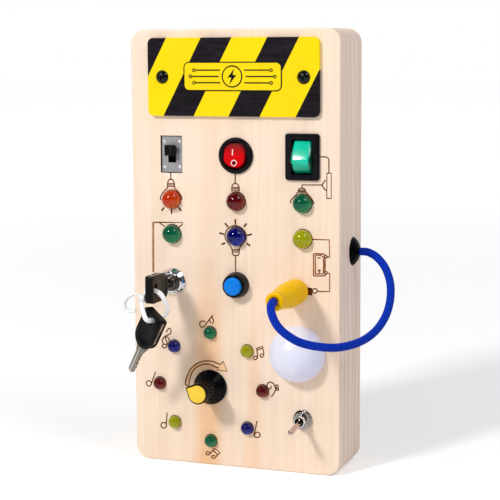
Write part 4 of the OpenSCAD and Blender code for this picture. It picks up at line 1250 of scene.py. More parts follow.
    @staticmethod
    def wire(name: str, points: Sequence[Point], radius: float, closed: bool, flat: float) -> Piece:
        """A thin square rod along points on the front, as a mesh.

        Args:
            name: the piece's name.
            points: in millimetres.
            radius: of the rod, in millimetres.
            closed: whether the last point joins the first.
            flat: share of its thickness that stays, square to the front.

        Returns:
            The mesh.
        """
        Bench.clear()
        shape = bpy.data.curves.new(name, "CURVE")
        shape.dimensions = "3D"
        shape.bevel_depth = radius * MM
        shape.bevel_resolution = 0
        shape.use_fill_caps = True
        line = shape.splines.new("POLY")
        line.points.add(len(points) - 1)
        for at, point in zip(line.points, points):
            at.co = (point[0] * MM, point[1] * MM, point[2] * MM, 1)
        line.use_cyclic_u = closed
        Bench.take(Bench.add(name, shape))
        bpy.ops.object.convert(target="MESH")
        piece = bpy.context.object
        with Bench.editing(piece):
            bpy.ops.transform.resize(value=(1, flat, 1), center_override=(0, BOARD.face * MM, 0))
        return piece

    @staticmethod
    def set_down(piece: Piece, body: str, slot: str, replaces: Sequence[str] = ()) -> Piece:
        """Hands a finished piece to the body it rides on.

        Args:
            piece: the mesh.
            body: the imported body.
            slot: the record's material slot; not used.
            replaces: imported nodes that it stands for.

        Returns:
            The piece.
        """
        Bench.settle(piece)
        Bench.clear()
        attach(piece, body)
        if replaces:
            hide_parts(*replaces)
        LOG.info("%s: %d faces on %s", piece.name, len(piece.data.polygons), body)
        return piece


def stand_in(piece: Piece, node: str, slot: str) -> Piece:
    """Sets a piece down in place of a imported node. Args: piece, node, material slot. Returns: the piece."""
    return Bench.set_down(piece, frame["nodes"][node]["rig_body"], slot, [node])


@dataclass
class Dressed:
    """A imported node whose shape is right: its copy gets eased edges and a finish."""

    node: str
    name: str
    finish: Finish
    slot: str
    ease: float = 0.2
    segments: int = 2
    angle: float = 32.0
    broad: bool = False

    def build(self) -> Piece:
        """Builds the piece in place of its node.

        Returns:
            The piece.
        """
        piece = Bench.copy_of(self.node, self.name)
        if self.ease:
            Bench.soften(piece, self.ease, self.segments, self.angle)
        Bench.smooth(piece, self.angle + 3)
        if self.broad:
            Bench.even_shade(piece)
        Bench.paint(piece, self.finish)
        return stand_in(piece, self.node, self.slot)


# ---- camera, light and floor

@dataclass(frozen=True)
class Softbox:
    """A square lamp: its place, the place it points at and its size in metres, its watts and its colour."""

    name: str
    place: Point
    target: Point
    size: float
    power: float
    colour: Point

    def build(self) -> None:
        """Sets the lamp up."""
        data = bpy.data.lights.new(self.name, "AREA")
        data.shape = "SQUARE"
        data.size = self.size
        data.energy = self.power
        data.color = self.colour
        made = Bench.add(self.name, data)
        made.location = self.place
        made.rotation_euler = (Vector(self.target) - Vector(self.place)).to_track_quat("-Z", "Y").to_euler()


@dataclass
class Studio:
    """Camera at the object's front right, a small key lamp from the upper left, pale floor.

    The camera's place is in millimetres. Light comes evenly from all round at the strength sky, and is
    seen in the gloss as a room that is dark in front of the object and white behind it.
    """

    eye: Point = (355.17, -957.21, 284.70)
    right: Point = (0.93842209, 0.34545913, -0.00468782)
    up: Point = (-0.0413979, 0.12590538, 0.99117811)
    back: Point = (0.34300175, -0.92994937, 0.13245367)
    focal_pixels: float = 1484.1
    image: float = 500.0
    lamps: Sequence[Softbox] = (
        Softbox("key", (-0.8, -1.725, 1.476), (0, -0.025, 0.15), 0.38, 30.8, (1.0, 0.99, 0.975)),
        Softbox("fill", (0.87, -0.36, 1.18), (0, 0, 0.15), 0.6, 5.3, (0.97, 0.98, 1.0)))
    sky: float = 0.315
    room: float = 0.05
    room_y: Pair = (-0.25, 0.45)
    floor_size: float = 24.0
    floor_glow: Pair = (0.32, 0.69)
    floor_glow_at: Pair = (0.15, 2.2)
    floor_gloss: Pair = (0.06, 1.0)
    floor_gloss_y: Pair = (-0.35, 0.3)

    def camera(self) -> None:
        """Sets the camera down and makes it the scene's own."""
        data = bpy.data.cameras.new("camera")
        data.sensor_fit = "HORIZONTAL"
        data.sensor_width = 36.0
        data.lens = self.focal_pixels / self.image * data.sensor_width
        data.clip_start = 0.01
        data.clip_end = 20.0
        made = Bench.add("camera", data)
        turn = Matrix((self.right, self.up, self.back)).transposed().to_4x4()
        made.matrix_world = Matrix.Translation(Vector(self.eye) * MM) @ turn
        bpy.context.scene.camera = made

    def world(self) -> None:
        """Lights the world: white behind the object, a dimmer room in front of it."""
        world = bpy.data.worlds.new("studio")
        bpy.context.scene.world = world
        world.use_nodes = True
        nodes = Nodes(world.node_tree)
        rays = nodes.node("LightPath").outputs
        toward = nodes.parts(nodes.node("TexCoord").outputs["Generated"])[1]
        glossy = nodes.math("MULTIPLY", rays["Is Glossy Ray"],
                            nodes.remap(toward, *self.room_y, self.room, 1.0))
        seen = nodes.math("MAXIMUM", rays["Is Camera Ray"], rays["Is Transmission Ray"])
        shown = nodes.math("MAXIMUM", seen, glossy)
        plain = nodes.math("MAXIMUM", rays["Is Glossy Ray"], seen)
        strength = nodes.math("ADD", shown, nodes.remap(plain, 0.0, 1.0, self.sky, 0.0))
        back = nodes.node("Background", {"Color": (1, 1, 1, 1), "Strength": strength})
        nodes.node("OutputWorld", {"Surface": back.outputs[0]})

    def floor(self) -> None:
        """Lays the pale floor, which keeps the object's shadow and fades to white further off."""
        Bench.clear()
        bpy.ops.mesh.primitive_plane_add(size=self.floor_size, location=(0, 0, 0))
        plane = bpy.context.object
        plane.name = "floor"
        sheet = Sheet("pale_floor").set(Roughness=0.9, Specular_IOR_Level=0.1, Base_Color=(0.93, 0.93, 0.93, 1),
                                        Emission_Color=(1, 1, 1, 1))
        rays = sheet.node("LightPath").outputs
        away = sheet.node("VectorMath", {0: sheet.place()}, operation="LENGTH").outputs["Value"]
        glow = sheet.remap(away, *self.floor_glow_at, *self.floor_glow)
        seen = sheet.math("MAXIMUM", rays["Is Camera Ray"], rays["Is Transmission Ray"])
        gloss = sheet.remap(sheet.parts(sheet.place())[1], *self.floor_gloss_y, *self.floor_gloss)
        seen = sheet.math("MAXIMUM", seen, sheet.math("MULTIPLY", rays["Is Glossy Ray"], gloss))
        sheet.join(sheet.math("MULTIPLY", seen, glow), "Emission Strength")
        plane.data.materials.append(sheet.material)

    def build(self) -> None:
        """Sets up the whole studio."""
        self.camera()
        for lamp in self.lamps:
            lamp.build()
        self.world()
        self.floor()
        bpy.context.scene.view_settings.view_transform = "Standard"


# ---- cord

def spline(given: Sequence[Vector], steps: int, closed: bool = False) -> list:
    """A smooth curve through points.

    Args:
        given: the points.
        steps: pieces between two of them.
        closed: whether it comes back to its start.

    Returns:
        The curve's points.
    """
    count = len(given)
    points = []
    for i in range(count if closed else count - 1):
        b, c = given[i], given[(i + 1) % count]
        a = given[i - 1] if i or closed else 2 * b - c
        d = given[(i + 2) % count] if i + 2 < count or closed else 2 * c - b
        for k in range(steps):
            t = k / steps
            points.append(0.5 * (2 * b + (c - a) * t + (2 * a - 5 * b + 4 * c - d) * t * t
                                 + (3 * b - a - 3 * c + d) * t ** 3))
    return points if closed else points + [given[-1]]


def circle(centre: Pair, radius: float, sides: int) -> list:
    """Points round a circle. Args: its centre, its radius, how many. Returns: the points."""
    turns = [math.tau * k / sides for k in range(sides)]
    return [(centre[0] + radius * math.cos(t), centre[1] + radius * math.sin(t)) for t in turns]


def sleeve(name: str, path: Sequence[Vector], half_wide: float, half_thick: float, sides: int, first: Vector,
           square: float = 2.0) -> Tuple[Piece, list]:
    """A tube or band swept along points, with a UV map: u runs round it and v along it, in metres.

    Args:
        name: the piece's name.
        path: its centre line, in metres.
        half_wide: half its width, in millimetres.
        half_thick: half its thickness, in millimetres.
        sides: round the section.
        first: direction its width starts in.
        square: 2 for a round section, more for a squarer one.

    Returns:
        The mesh, and the length run at each point.
    """
    section = []
    for k in range(sides):
        c, s = math.cos(math.tau * k / sides), math.sin(math.tau * k / sides)
        section.append((math.copysign(abs(c) ** (2 / square), c) * half_wide * MM,
                        math.copysign(abs(s) ** (2 / square), s) * half_thick * MM))
    shape = bmesh.new()
    sheet = shape.loops.layers.uv.new("UVMap")
    side = first.copy()
    rings, marks, run = [], [], 0.0
    for i, point in enumerate(path):
        ahead = (path[min(i + 1, len(path) - 1)] - path[max(i - 1, 0)]).normalized()
        side = (side - side.dot(ahead) * ahead).normalized()
        other = ahead.cross(side)
        run += (point - path[i - 1]).length if i else 0.0
        marks.append(run)
        rings.append([shape.verts.new(point + a * side + b * other) for a, b in section])
    for i in range(len(path) - 1):
        for k in range(sides):
            j = (k + 1) % sides
            face = shape.faces.new((rings[i][k], rings[i][j], rings[i + 1][j], rings[i + 1][k]))
            face.smooth = True
            for loop, (u, v) in zip(face.loops, ((k, i), (k + 1, i), (k + 1, i + 1), (k, i + 1))):
                loop[sheet].uv = (u / sides, marks[v])
    shape.faces.new(list(reversed(rings[0])))
    shape.faces.new(rings[-1])
    bmesh.ops.recalc_face_normals(shape, faces=shape.faces)
    mesh = bpy.data.meshes.new(name)
    shape.to_mesh(mesh)
    shape.free()
    return Bench.add(name, mesh), marks


@dataclass
class PlugCord:
    """Braided cord from the grommet on the right side to the plug.

    Its points are in millimetres, near ones from the plug's end and far ones from the grommet.
    """

    radius: float = 2.7
    plug_end: Point = (45.2, -73.3, 125.8)
    exit: Point = (80.0, 5.0, 150.0)
    near: Sequence[Point] = ((0, 0, 0), (0, -1.5, 0), (0.15, -4.5, -0.3), (0.8, -8, -1.9), (2.2, -10.9, -5),
                             (4.4, -12.4, -9.1), (7.6, -12.5, -13.8), (13, -10.6, -19), (20.4, -6.2, -24),
                             (30.8, 1.2, -27.4), (41.2, 11.3, -28.8))
    far: Sequence[Point] = ((15, -51, -51.8), (20.4, -35, -47.6), (23.6, -21.5, -40), (24, -10.8, -30.5),
                            (22.2, -4, -20.2), (17.9, -0.8, -10.6), (11.9, 0.1, -3.7), (5.6, 0, -0.3),
                            (0, 0, 0))
    sides: int = 24
    steps: int = 12

    def route(self) -> list:
        """The centre line from the grommet to the plug, in metres.

        Returns:
            Its points.
        """
        given = [Vector(self.plug_end) + Vector(p) for p in self.near]
        given += [Vector(self.exit) + Vector(p) for p in self.far]
        points = [given[0]] + spline(given[1:], self.steps)
        return [p * MM for p in reversed(points)]

    def build(self) -> Piece:
        """Sweeps the sleeve along the route, with its UV map.

        Returns:
            The cord.
        """
        path = self.route()
        cord, marks = sleeve("braided_cord", path, self.radius, self.radius, self.sides, Vector((0, 1, 0)))
        Bench.paint(cord, BRAID)
        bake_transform(cord)
        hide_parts("plug_cord")
        self.path = path
        self.length = marks[-1]
        LOG.info("braided_cord: %.1f mm long", self.length / MM)
        return cord


# ---- wooden body

class Pen(Enum):
    """The burning pen, by half the width of its line in millimetres; WARM, EDGE and BOLD burn less dark."""

    FINE = 0.34
    FULL = 0.44
    WARM = 0.48
    EDGE = 0.58
    FIRM = 0.62
    BOLD = 0.74


PEN_HEAT = {Pen.WARM: SCORCHED, Pen.EDGE: SCORCHED, Pen.BOLD: BROWNED}


@dataclass(frozen=True)
class Stroke:
    """One burnt line on the front: its points (x, z) in millimetres and the pen it is drawn with."""

    points: Sequence[Pair]
    pen: Pen = Pen.FULL
    curved: bool = False
    closed: bool = False

    def path(self, steps: int = 4) -> list:
        """The stroke's points, on a smooth curve where it is curved.

        Args:
            steps: pieces between two given points of a curve.

        Returns:
            The points.
        """
        given = [Vector(p) for p in self.points]
        return spline(given, steps, self.closed) if self.curved else given


def ring(centre: Pair, radius: float, pen: Pen = Pen.FULL, sides: int = 16) -> Stroke:
    """A round burnt line. Args: centre, radius, pen, sides. Returns: the stroke."""
    return Stroke(circle(centre, radius, sides), pen, False, True)


def line(*points: Pair, pen: Pen = Pen.FULL) -> Stroke:
    """A straight or bent burnt line. Args: its points, its pen. Returns: the stroke."""
    return Stroke(points, pen)


def curve(*points: Pair, pen: Pen = Pen.FULL, closed: bool = False) -> Stroke:
    """A curved burnt line. Args: its points, its pen, whether it closes. Returns: the stroke."""
    return Stroke(points, pen, True, closed)


@dataclass(frozen=True)
class Drawings:
    """The line drawings on the front, each as a list of strokes, with points in millimetres."""

    lamp_edge: float = 6.5
    note_edge: float = 4.4

    def upper_left_bulb(self) -> list:
        """Half bulb hanging from the slide switch, with three rays.

        Returns:
            Strokes.
        """
        return [line((-46.2, 202.8), (-46.2, 198.4)),
                curve((-48.6, 195.6), (-48.2, 197.1), (-47.3, 198.1), (-46.2, 198.4), (-45.1, 198.1),
                      (-44.1, 197.2),
                      (-43.7, 195.7)),
                line((-48.6, 195.6), (-48.7, 193.3)), line((-43.6, 195.7), (-43.5, 193.5)),
                *(line((-48.6, z), (-43.7, z + 0.1), pen=Pen.FINE) for z in (195.4, 194.4, 193.4)),
                curve((-48.7, 193.3), (-49.1, 192.1), (-51, 190.2), (-52.9, 188.1), (-54, 186), (-54.1, 184.6),
                      (-53.1, 184)),
                curve((-43.5, 193.5), (-43.2, 192.3), (-41.3, 190.5), (-39.5, 188.4), (-38.3, 186.4),
                      (-38.1, 185.1),
                      (-39.1, 184.3)),
                line((-51.3, 178.9), (-53.4, 176.4), pen=Pen.FIRM),
                line((-46, 177.9), (-45.9, 174.5), pen=Pen.FIRM),
                line((-40.7, 179.3), (-38.7, 176.8), pen=Pen.FIRM)]

    def middle_cap(self) -> list:
        """Cap over the red lamp.

        Returns:
            Strokes.
        """
        return [line((1, 203.1), (0.9, 196.7)),
                curve((-1.4, 194.3), (-1.1, 195.5), (-0.2, 196.4), (0.9, 196.8), (2.1, 196.5), (3.1, 195.6),
                      (3.6, 194.4)),
                line((-1.5, 194.3), (-1.5, 191.2)), line((3.7, 194.4), (3.8, 191.4)),
                *(line((-1.4, z), (3.7, z + 0.1), pen=Pen.FINE) for z in (194.0, 193.1, 192.1))]

    def shower(self) -> list:
        """Angled bracket over the left lamp.

        Returns:
            Strokes.
        """
        return [line((-59.8, 168.2), (-60.2, 133.5), pen=Pen.BOLD),
                line((-59.8, 168.2), (-55.1, 168.4), (-37.9, 168.8), (-38.1, 167.4), (-41.3, 165.2)),
                line((-55.2, 168.3), (-51.1, 165.6))]

    def middle_bulb(self) -> list:
        """Upside-down bulb round the blue lamp, with seven rays.

        Returns:
            Strokes.
        """
        rays = (((0.9, 172.6), (0.9, 168.8)), ((-6.6, 169.6), (-4.3, 166.8)), ((9.1, 170), (7.1, 167.4)),
                ((-10.8, 162.7), (-7.2, 161.9)), ((12.8, 162.7), (9.1, 161.8)), ((-9.3, 154.8), (-6.5, 156.1)),
                ((11.6, 154.7), (9.1, 156.4)))
        return [curve((-1.5, 151), (-2.3, 153.3), (-4.2, 155.7), (-6.1, 158.4), (-6.7, 161.1), (-5.7, 164.2),
                      (-3.4, 166.7), (1, 168.2), (4.9, 166.8), (7.7, 164.4), (8.6, 161.3), (8.1, 158.6),
                      (6, 155.8),
                      (4.1, 153.3), (3.6, 151.3)),
                line((-1.5, 151), (-1.3, 148.7), (-0.4, 147.7), (2.5, 147.8), (3.5, 148.9), (3.6, 151.3)),
                *(line((-1.3, z), (3.6, z + 0.1), pen=Pen.FINE) for z in (151.8, 150.9, 149.9)),
                *(line(*ray, pen=Pen.FIRM) for ray in rays), line((0.8, 147.7), (0.9, 136.8))]

    def upper_right_bulb(self) -> list:
        """Half bulb under the green switch, wired to a bell.

        Returns:
            Strokes.
        """
        return [line((62.4, 197.3), (48.4, 197), (48.2, 194.8)),
                curve((64.9, 200.6), (63.8, 199.7), (62.9, 198.3), (62.5, 197.1), (62.9, 195.9), (63.9, 194.7),
                      (65.2, 193.6)),
                Stroke(((65.5, 205.1), (65.5, 188.5), (68.5, 188.5), (68.5, 205.3)), closed=True),
                line((59.9, 215.9), (65.1, 215.9), (66.5, 215), (66.9, 213.6), (66.9, 205.1)),
                curve((45.6, 192.3), (45.9, 193.7), (46.9, 194.6), (48.3, 194.8), (49.7, 194.5), (50.5, 193.7),
                      (50.9, 192.5)),
                *(line((45.7, z), (50.9, z + 0.1), pen=Pen.FINE) for z in (193.5, 192.7, 192.0)),
                curve((45.6, 192.3), (44.1, 190.2), (41.6, 187.8), (40.4, 186), (40.4, 184.4)),
                curve((50.9, 192.5), (52.5, 190.7), (54.6, 188.5), (56, 186.2), (56.4, 184.9), (55.7, 184.5))]

    def battery(self) -> list:
        """Battery wired from the lime lamp to the jack.

        Returns:
            Strokes.
        """
        paths = (((54.9, 160.9), (67.3, 161), (67.5, 149.5), (66, 149.5)), ((56.4, 136.4), (56.4, 151.3)),
                 ((56.4, 151.3), (63, 151.5), (64.5, 150.7)),
                 ((57.7, 137.8), (57.7, 150.3), (61.6, 150.5), (63.8, 148.6)), ((59.1, 148.6), (61.3, 148.6)),
                 ((64.3, 148.5), (64.5, 143.4), (64.1, 139.7)),
                 ((63.2, 148.3), (63.5, 143.4), (63.1, 138.1), (57.7, 137.8)),
                 ((56.4, 136.4), (64.1, 136.8), (64.8, 137.8)), ((59.4, 140.1), (61.4, 140.2)),
                 ((60.4, 141.1), (60.4, 138.1)), ((66.1, 138.7), (67.6, 138.6), (67.6, 126.4), (59, 126.1)))
        return [*(line(*path, pen=Pen.WARM) for path in paths), ring((64.9, 149.6), 0.9),
                ring((65, 138.9), 0.9),
                ring((57.3, 126.3), 1.6),
                *(line((x, 128.2), (x + 0.3, 123.2), pen=Pen.FIRM) for x in (52.7, 53.7, 54.7))]

    def turning_arrow(self) -> Tuple[list, list]:
        """Arrow bent over the dial.

        Returns:
            Its outline as one path, and its strokes.
        """
        outer = [(-36.9, 55.1), (-36.7, 58.2), (-35.7, 61), (-33.4, 66.1), (-29.6, 69.9), (-25.1, 72.3),
                 (-20.7, 73.3), (-16.2, 73.1), (-12.2, 71.8)]
        head = [(-10.9, 71.5), (-8.7, 73.8), (-5.9, 67.1), (-13.1, 67.7), (-11.8, 69.8)]
        inner = [(-13.0, 69.2), (-18.5, 71.1), (-22.9, 71.0), (-27.4, 69.2), (-31.2, 65.9), (-33.6, 60.4),
                 (-34.4, 55.3)]
        outside, inside = Stroke(outer, Pen.EDGE, True), Stroke(inner, Pen.EDGE, True)
        outline = [*outside.path(), *(Vector(p) for p in head), *inside.path()]
        tip = Stroke([outer[-1], *head, inner[0]], Pen.EDGE)
        return outline, [outside, inside, tip, Stroke([outer[0], inner[-1]], Pen.EDGE)]

    def notes(self) -> list:
        """Music notes and clefs beside the eight small lamps.

        Returns:
            Strokes.
        """
        return [curve((-21.5, 100.3), (-22.4, 101), (-23.9, 101.2), (-25.5, 100.2), (-25.9, 98.9),
                      (-25.2, 97.4),
                      (-23.9, 96.8), (-22.4, 97.6), (-21, 99.5)),
                line((-21, 99.5), (-16.2, 105.7)), line((-18.7, 102.4), (-17.5, 99.9)),
                curve((-16.2, 105.7), (-16.6, 104), (-15.5, 101.7), (-16.6, 99.6)),
                curve((-51, 91.4), (-50.4, 92.8), (-48.7, 94.6), (-47.5, 93.2), (-47.8, 91.2), (-49.6, 89.8),
                      (-52, 88.7), (-53.8, 86.5), (-54, 84.4), (-52.2, 83), (-50.2, 83.3), (-48.9, 84.9),
                      (-49.1, 87),
                      (-50.6, 88.4), (-51.9, 87.3), (-50.9, 85.6), (-50.6, 83), (-51.4, 81), (-52.9, 80.4),
                      (-54.1, 81), (-54.1, 82.3), (-53, 83)),
                curve((-62.8, 54.6), (-64, 56.1), (-65.6, 56), (-66.7, 54.5), (-66.1, 52.9), (-64.6, 52.4),
                      (-63.3, 53.3), closed=True),
                line((-62.8, 54.6), (-59.5, 62.9)),
                curve((-51.8, 26), (-52.5, 26.9), (-54.1, 27.1), (-55.6, 26.2), (-55.8, 24.5), (-54.8, 23.2),
                      (-53.2, 23.2), (-51.9, 24.6), closed=True),
                line((-51.8, 26.5), (-51, 34.4)),
                curve((-19, 8.1), (-20.1, 8.9), (-21.6, 8.7), (-22, 7.6), (-21.3, 6.8), (-19.8, 7),
                      closed=True),
                line((-18.9, 8.0), (-15.4, 11.9), (-11.5, 9.1), (-13.6, 7.2)),
                line((-16.5, 10.3), (-13.2, 7.5)),
                curve((-13.6, 7.2), (-15.8, 4.8), (-17.3, 4.7), (-17.8, 5.8), (-16.8, 6.6), (-15.3, 6.5)),
                line((13.6, 23.6), (15.9, 34)),
                curve((14.5, 24.9), (16, 26.1), (17.6, 25.5), (18, 24), (16.8, 22.6), (15.1, 22.4), (13.8, 23),
                      closed=True),
                curve((26.3, 51.6), (28, 54.1), (29.3, 56.7), (29.1, 58.7), (27.9, 60.8), (25.9, 61.9),
                      (24.2, 61.3),
                      (23.2, 59.6), (23.6, 57.9), (24.9, 57.1), (26.2, 58), (26.2, 59.3)),
                ring((30.4, 59.3), 0.95), ring((30.7, 57.3), 0.85),
                curve((16, 84), (16.4, 78.9), (15.8, 77.3), (14.6, 76.6), (13.6, 77.4), (14.1, 78.7),
                      (15.3, 79.1),
                      (16.3, 78.6)),
                line((15.3, 84.3), (20.1, 86.4), (21, 81.2)), line((15.6, 83.2), (20.3, 85.1)),
                curve((21, 81.2), (20.2, 79.2), (19.1, 78.6), (18.3, 79.5), (18.8, 80.6), (20.1, 81))]

    def lamp_scorch_and_shadow_rings(self) -> list:
        """Burnt ring round the hole of each lamp: a scorched hole edge and a painted shadow round the lamp.

        Returns:
            Strokes.
        """
        places = [(x, z) for x in (BOARD.left, BOARD.middle, BOARD.right)
                  for z in (BOARD.lamps_upper, BOARD.lamps_lower)]
        return ([ring(place, self.lamp_edge, Pen.FINE, 40) for place in places]
                + [ring(BOARD.note_lamp(k), self.note_edge, Pen.FINE, 32) for k in range(8)])

    def strokes(self) -> list:
        """Every stroke but the arrow's. Returns: the strokes."""
        return (self.lamp_scorch_and_shadow_rings() + self.upper_left_bulb() + self.middle_cap() + self.shower() + self.middle_bulb()
                + self.upper_right_bulb() + self.battery() + self.notes())


@dataclass
class WoodBody:
    """Pine body with the line drawings burnt into its front."""

    fill_depth: float = 0.12
    flat: float = 0.7

    def cut(self, body: Piece, tools: Sequence[Piece]) -> None:
        """Cuts tools out of the body, which takes their finish on the cuts.

        Args:
            body: the wood.
            tools: closed meshes; they are used up.
        """
        held = bpy.data.collections.new("cutting_tools")
        bpy.context.scene.collection.children.link(held)
        for tool in tools:
            bpy.context.scene.collection.objects.unlink(tool)
            held.objects.link(tool)
        Bench.modify(body, "BOOLEAN", operation="DIFFERENCE", operand_type="COLLECTION", collection=held,
                     solver="EXACT", material_mode="TRANSFER")
        for tool in tools:
            bpy.data.objects.remove(tool)
        bpy.data.collections.remove(held)

    def build(self) -> Piece:
        """Cuts the drawings into the body.

        Returns:
            The body.
        """
        body = Bench.copy_of("wood_body", "pine_body")
        Bench.paint(body, PINE)
        drawings = Drawings()
        outline, arrow = drawings.turning_arrow()
        fill = Bench.cut_out("arrow_fill", outline, 2 * self.fill_depth)
        Bench.shift(fill, (0, BOARD.face, 0))
        Bench.paint(fill, TOASTED)
        self.cut(body, [fill])
        pens = []
        for index, stroke in enumerate(drawings.strokes() + arrow):
            points = [(p[0], BOARD.face, p[1]) for p in stroke.path()]
            pen = Bench.wire(f"pen_{index}", points, stroke.pen.value, stroke.closed, self.flat)
            Bench.paint(pen, PEN_HEAT.get(stroke.pen, BURNT))
            pens.append(pen)
        self.cut(body, pens)
        Bench.smooth(body, 30)
        Bench.even_shade(body)
        return stand_in(body, "wood_body", "pine")


# ---- sign badge

@dataclass
class SignBadge:
    """Plain badge on the sign: a framed plate with a flash in a ring and bus lines on both sides.

    Each layer's top is its height above the sign. A line is its height and where it starts and ends, out
    from the middle; a ring and a dot are their outer and inner radius.
    """

    middle: Pair = (0.4, 268.4)
    width: float = 70.0
    height: float = 19.5
    corner: float = 4.0
    corner_steps: int = 8
    frame: float = 0.75
    sign_front: float = 3.0
    sunk: float = 0.1
    ring: Pair = (7.4, 6.5)
    flash: Sequence[Pair] = ((1.6, 5.2), (-3.1, -0.7), (-0.5, -0.7), (-1.9, -5.2), (3.1, 1.0), (0.4, 1.0))
    lines: Sequence[Point] = ((4.2, 8.6, 27.5), (0.0, 9.6, 30.0), (-4.2, 8.6, 27.5))
    line_half: float = 0.42
    dot: Pair = (1.25, 0.55)
    sides: int = 32
    frame_top: float = 0.22
    plate_top: float = 0.3
    line_top: float = 0.38
    dot_top: float = 0.4
    ring_in_top: float = 0.44
    dot_in_top: float = 0.46
    flash_top: float = 0.52

    def rounded(self, less: float) -> list:
        """Outline of the plate.

        Args:
            less: how far it stands in from the badge's edge.

        Returns:
            Its points.
        """
        half_w, half_h, r = self.width / 2 - less, self.height / 2 - less, self.corner - less
        outline = []
        for sx, sz, start in ((1, 1, 0), (-1, 1, 90), (-1, -1, 180), (1, -1, 270)):
            for k in range(self.corner_steps + 1):
                turn = math.radians(start + 90 * k / self.corner_steps)
                outline.append((self.middle[0] + sx * (half_w - r) + r * math.cos(turn),
                                self.middle[1] + sz * (half_h - r) + r * math.sin(turn)))
        return outline

    def layer(self, name: str, outline: Sequence[Pair], top: float, finish: Finish) -> Piece:
        """A flat shape cut from thin sheet and laid on the sign.

        Args:
            name: the piece's name.
            outline: x and z of its corners.
            top: height of its front above the sign.
            finish: what it is painted with.

        Returns:
            The mesh.
        """
        piece = Bench.cut_out(name, [Vector(p) for p in outline], top + self.sunk)
        Bench.shift(piece, (0, BOARD.face - self.sign_front - (top - self.sunk) / 2, 0))
        Bench.paint(piece, finish)
        return piece

    def build(self) -> None:
        """Builds the badge on the sign."""
        x, z = self.middle
        ring, ring_in = (circle(self.middle, radius, self.sides) for radius in self.ring)
        flash = [(x + a, z + b) for a, b in self.flash]
        black = [self.layer("badge_frame", self.rounded(0.0), self.frame_top, BADGE_BLACK),
                 self.layer("badge_ring", ring, self.line_top, BADGE_BLACK),
                 self.layer("badge_flash", flash, self.flash_top, BADGE_BLACK)]
        yellow = [self.layer("badge_plate", self.rounded(self.frame), self.plate_top, BADGE_YELLOW),
                  self.layer("badge_ring_in", ring_in, self.ring_in_top, BADGE_YELLOW)]
        for side in (-1, 1):
            for level, near, reach in self.lines:
                low, high, end = z + level - self.line_half, z + level + self.line_half, x + side * reach
                bar = [(x + side * near, low), (end, low), (end, high), (x + side * near, high)][::side]
                dot, dot_in = (circle((end, z + level), radius, self.sides) for radius in self.dot)
                black += [self.layer("badge_line", bar, self.line_top, BADGE_BLACK),
                          self.layer("badge_dot", dot, self.dot_top, BADGE_BLACK)]
                yellow.append(self.layer("badge_dot_in", dot_in, self.dot_in_top, BADGE_YELLOW))
        for name, parts, slot in (("sign_badge_black", black, "black_screw"),
                                  ("sign_badge_yellow", yellow, "sign_yellow")):
            piece = Bench.join(parts)
            piece.name = piece.data.name = name
            Bench.set_down(piece, "board", slot)


# ---- green paddle

@dataclass
class GreenPaddle:
    """Translucent paddle of the big rocker: wide rounded ridge, faces that narrow towards their ends."""

    half_width: float = 6.9
    shoulder: float = 2.0
    drop: float = 2.86
    taper: float = 0.5
    waist: float = 4.0
    waist_in: Pair = (0.3, 0.5)
    ridge_round: float = 1.5
    ridge_down: float = 1.2
    facet: float = 3.2
    facet_rise: float = 1.18
    ease: float = 0.35
    near: float = 2e-5

    def shape_ridge(self, piece: Piece) -> None:
        """Sets the ridge lower, with a facet under it that looks up a little.

        Args:
            piece: the paddle.
        """
        points = piece.data.vertices
        front = min(p.co.y for p in points)
        Bench.nudge(piece, lambda p: abs(p.y - front) < 10 * self.near, (0, 0, -self.ridge_down))
        top = max(p.co.z for p in piece.data.vertices if abs(p.co.y - front) < 10 * self.near)
        ridge = top - self.facet * MM
        Bench.slice(piece, ridge, Axis.Z)
        face = min(p.co.y for p in piece.data.vertices if abs(p.co.z - ridge) < self.near) / MM
        Bench.nudge(piece, lambda p: abs(p.z - ridge) < self.near and p.y < (BOARD.face - 2) * MM,
                    (0, front / MM - self.facet_rise - face, 0))
        Bench.crease_round(piece, lambda a, b: max(abs(a.z - ridge), abs(b.z - ridge)) < self.near
                           and abs(a.x - b.x) > 5 * MM and a.y < front, self.ridge_round, 6)

    def shape_ends(self, piece: Piece) -> None:
        """Rounds the sides off, most of all towards their ends.

        Args:
            piece: the paddle.
        """
        for side in (-1, 1):
            Bench.slice(piece, (BOARD.right + side * (self.half_width - self.shoulder)) * MM)
        middle, waist = BOARD.switches * MM, self.waist * MM
        for side in (-1, 1):
            cap = (BOARD.right + side * self.half_width) * MM
            for up in (-1, 1):
                Bench.nudge(piece, lambda p: abs(p.x - cap) < self.near and p.y < (BOARD.face + 0.5) * MM
                            and up * (p.z - middle) > waist, (0, self.drop, -up * self.taper))
            Bench.nudge(piece, lambda p: abs(p.x - cap) < self.near and p.y < (BOARD.face - 4) * MM
                        and abs(p.z - middle) <= waist, (-side * self.waist_in[0], self.waist_in[1], 0))

    def build(self) -> Piece:
        """Shapes the paddle from a copy of its solid.

        Returns:
            The paddle.
        """
        piece = Bench.copy_of("big_rocker_paddle", "green_paddle")
        self.shape_ridge(piece)
        self.shape_ends(piece)
        Bench.soften(piece, self.ease, 3, 14)
        Bench.smooth(piece, 40)
        Bench.paint(piece, GREEN_ROCKER)
        return stand_in(piece, "big_rocker_paddle", "green_rocker")


# ---- plug

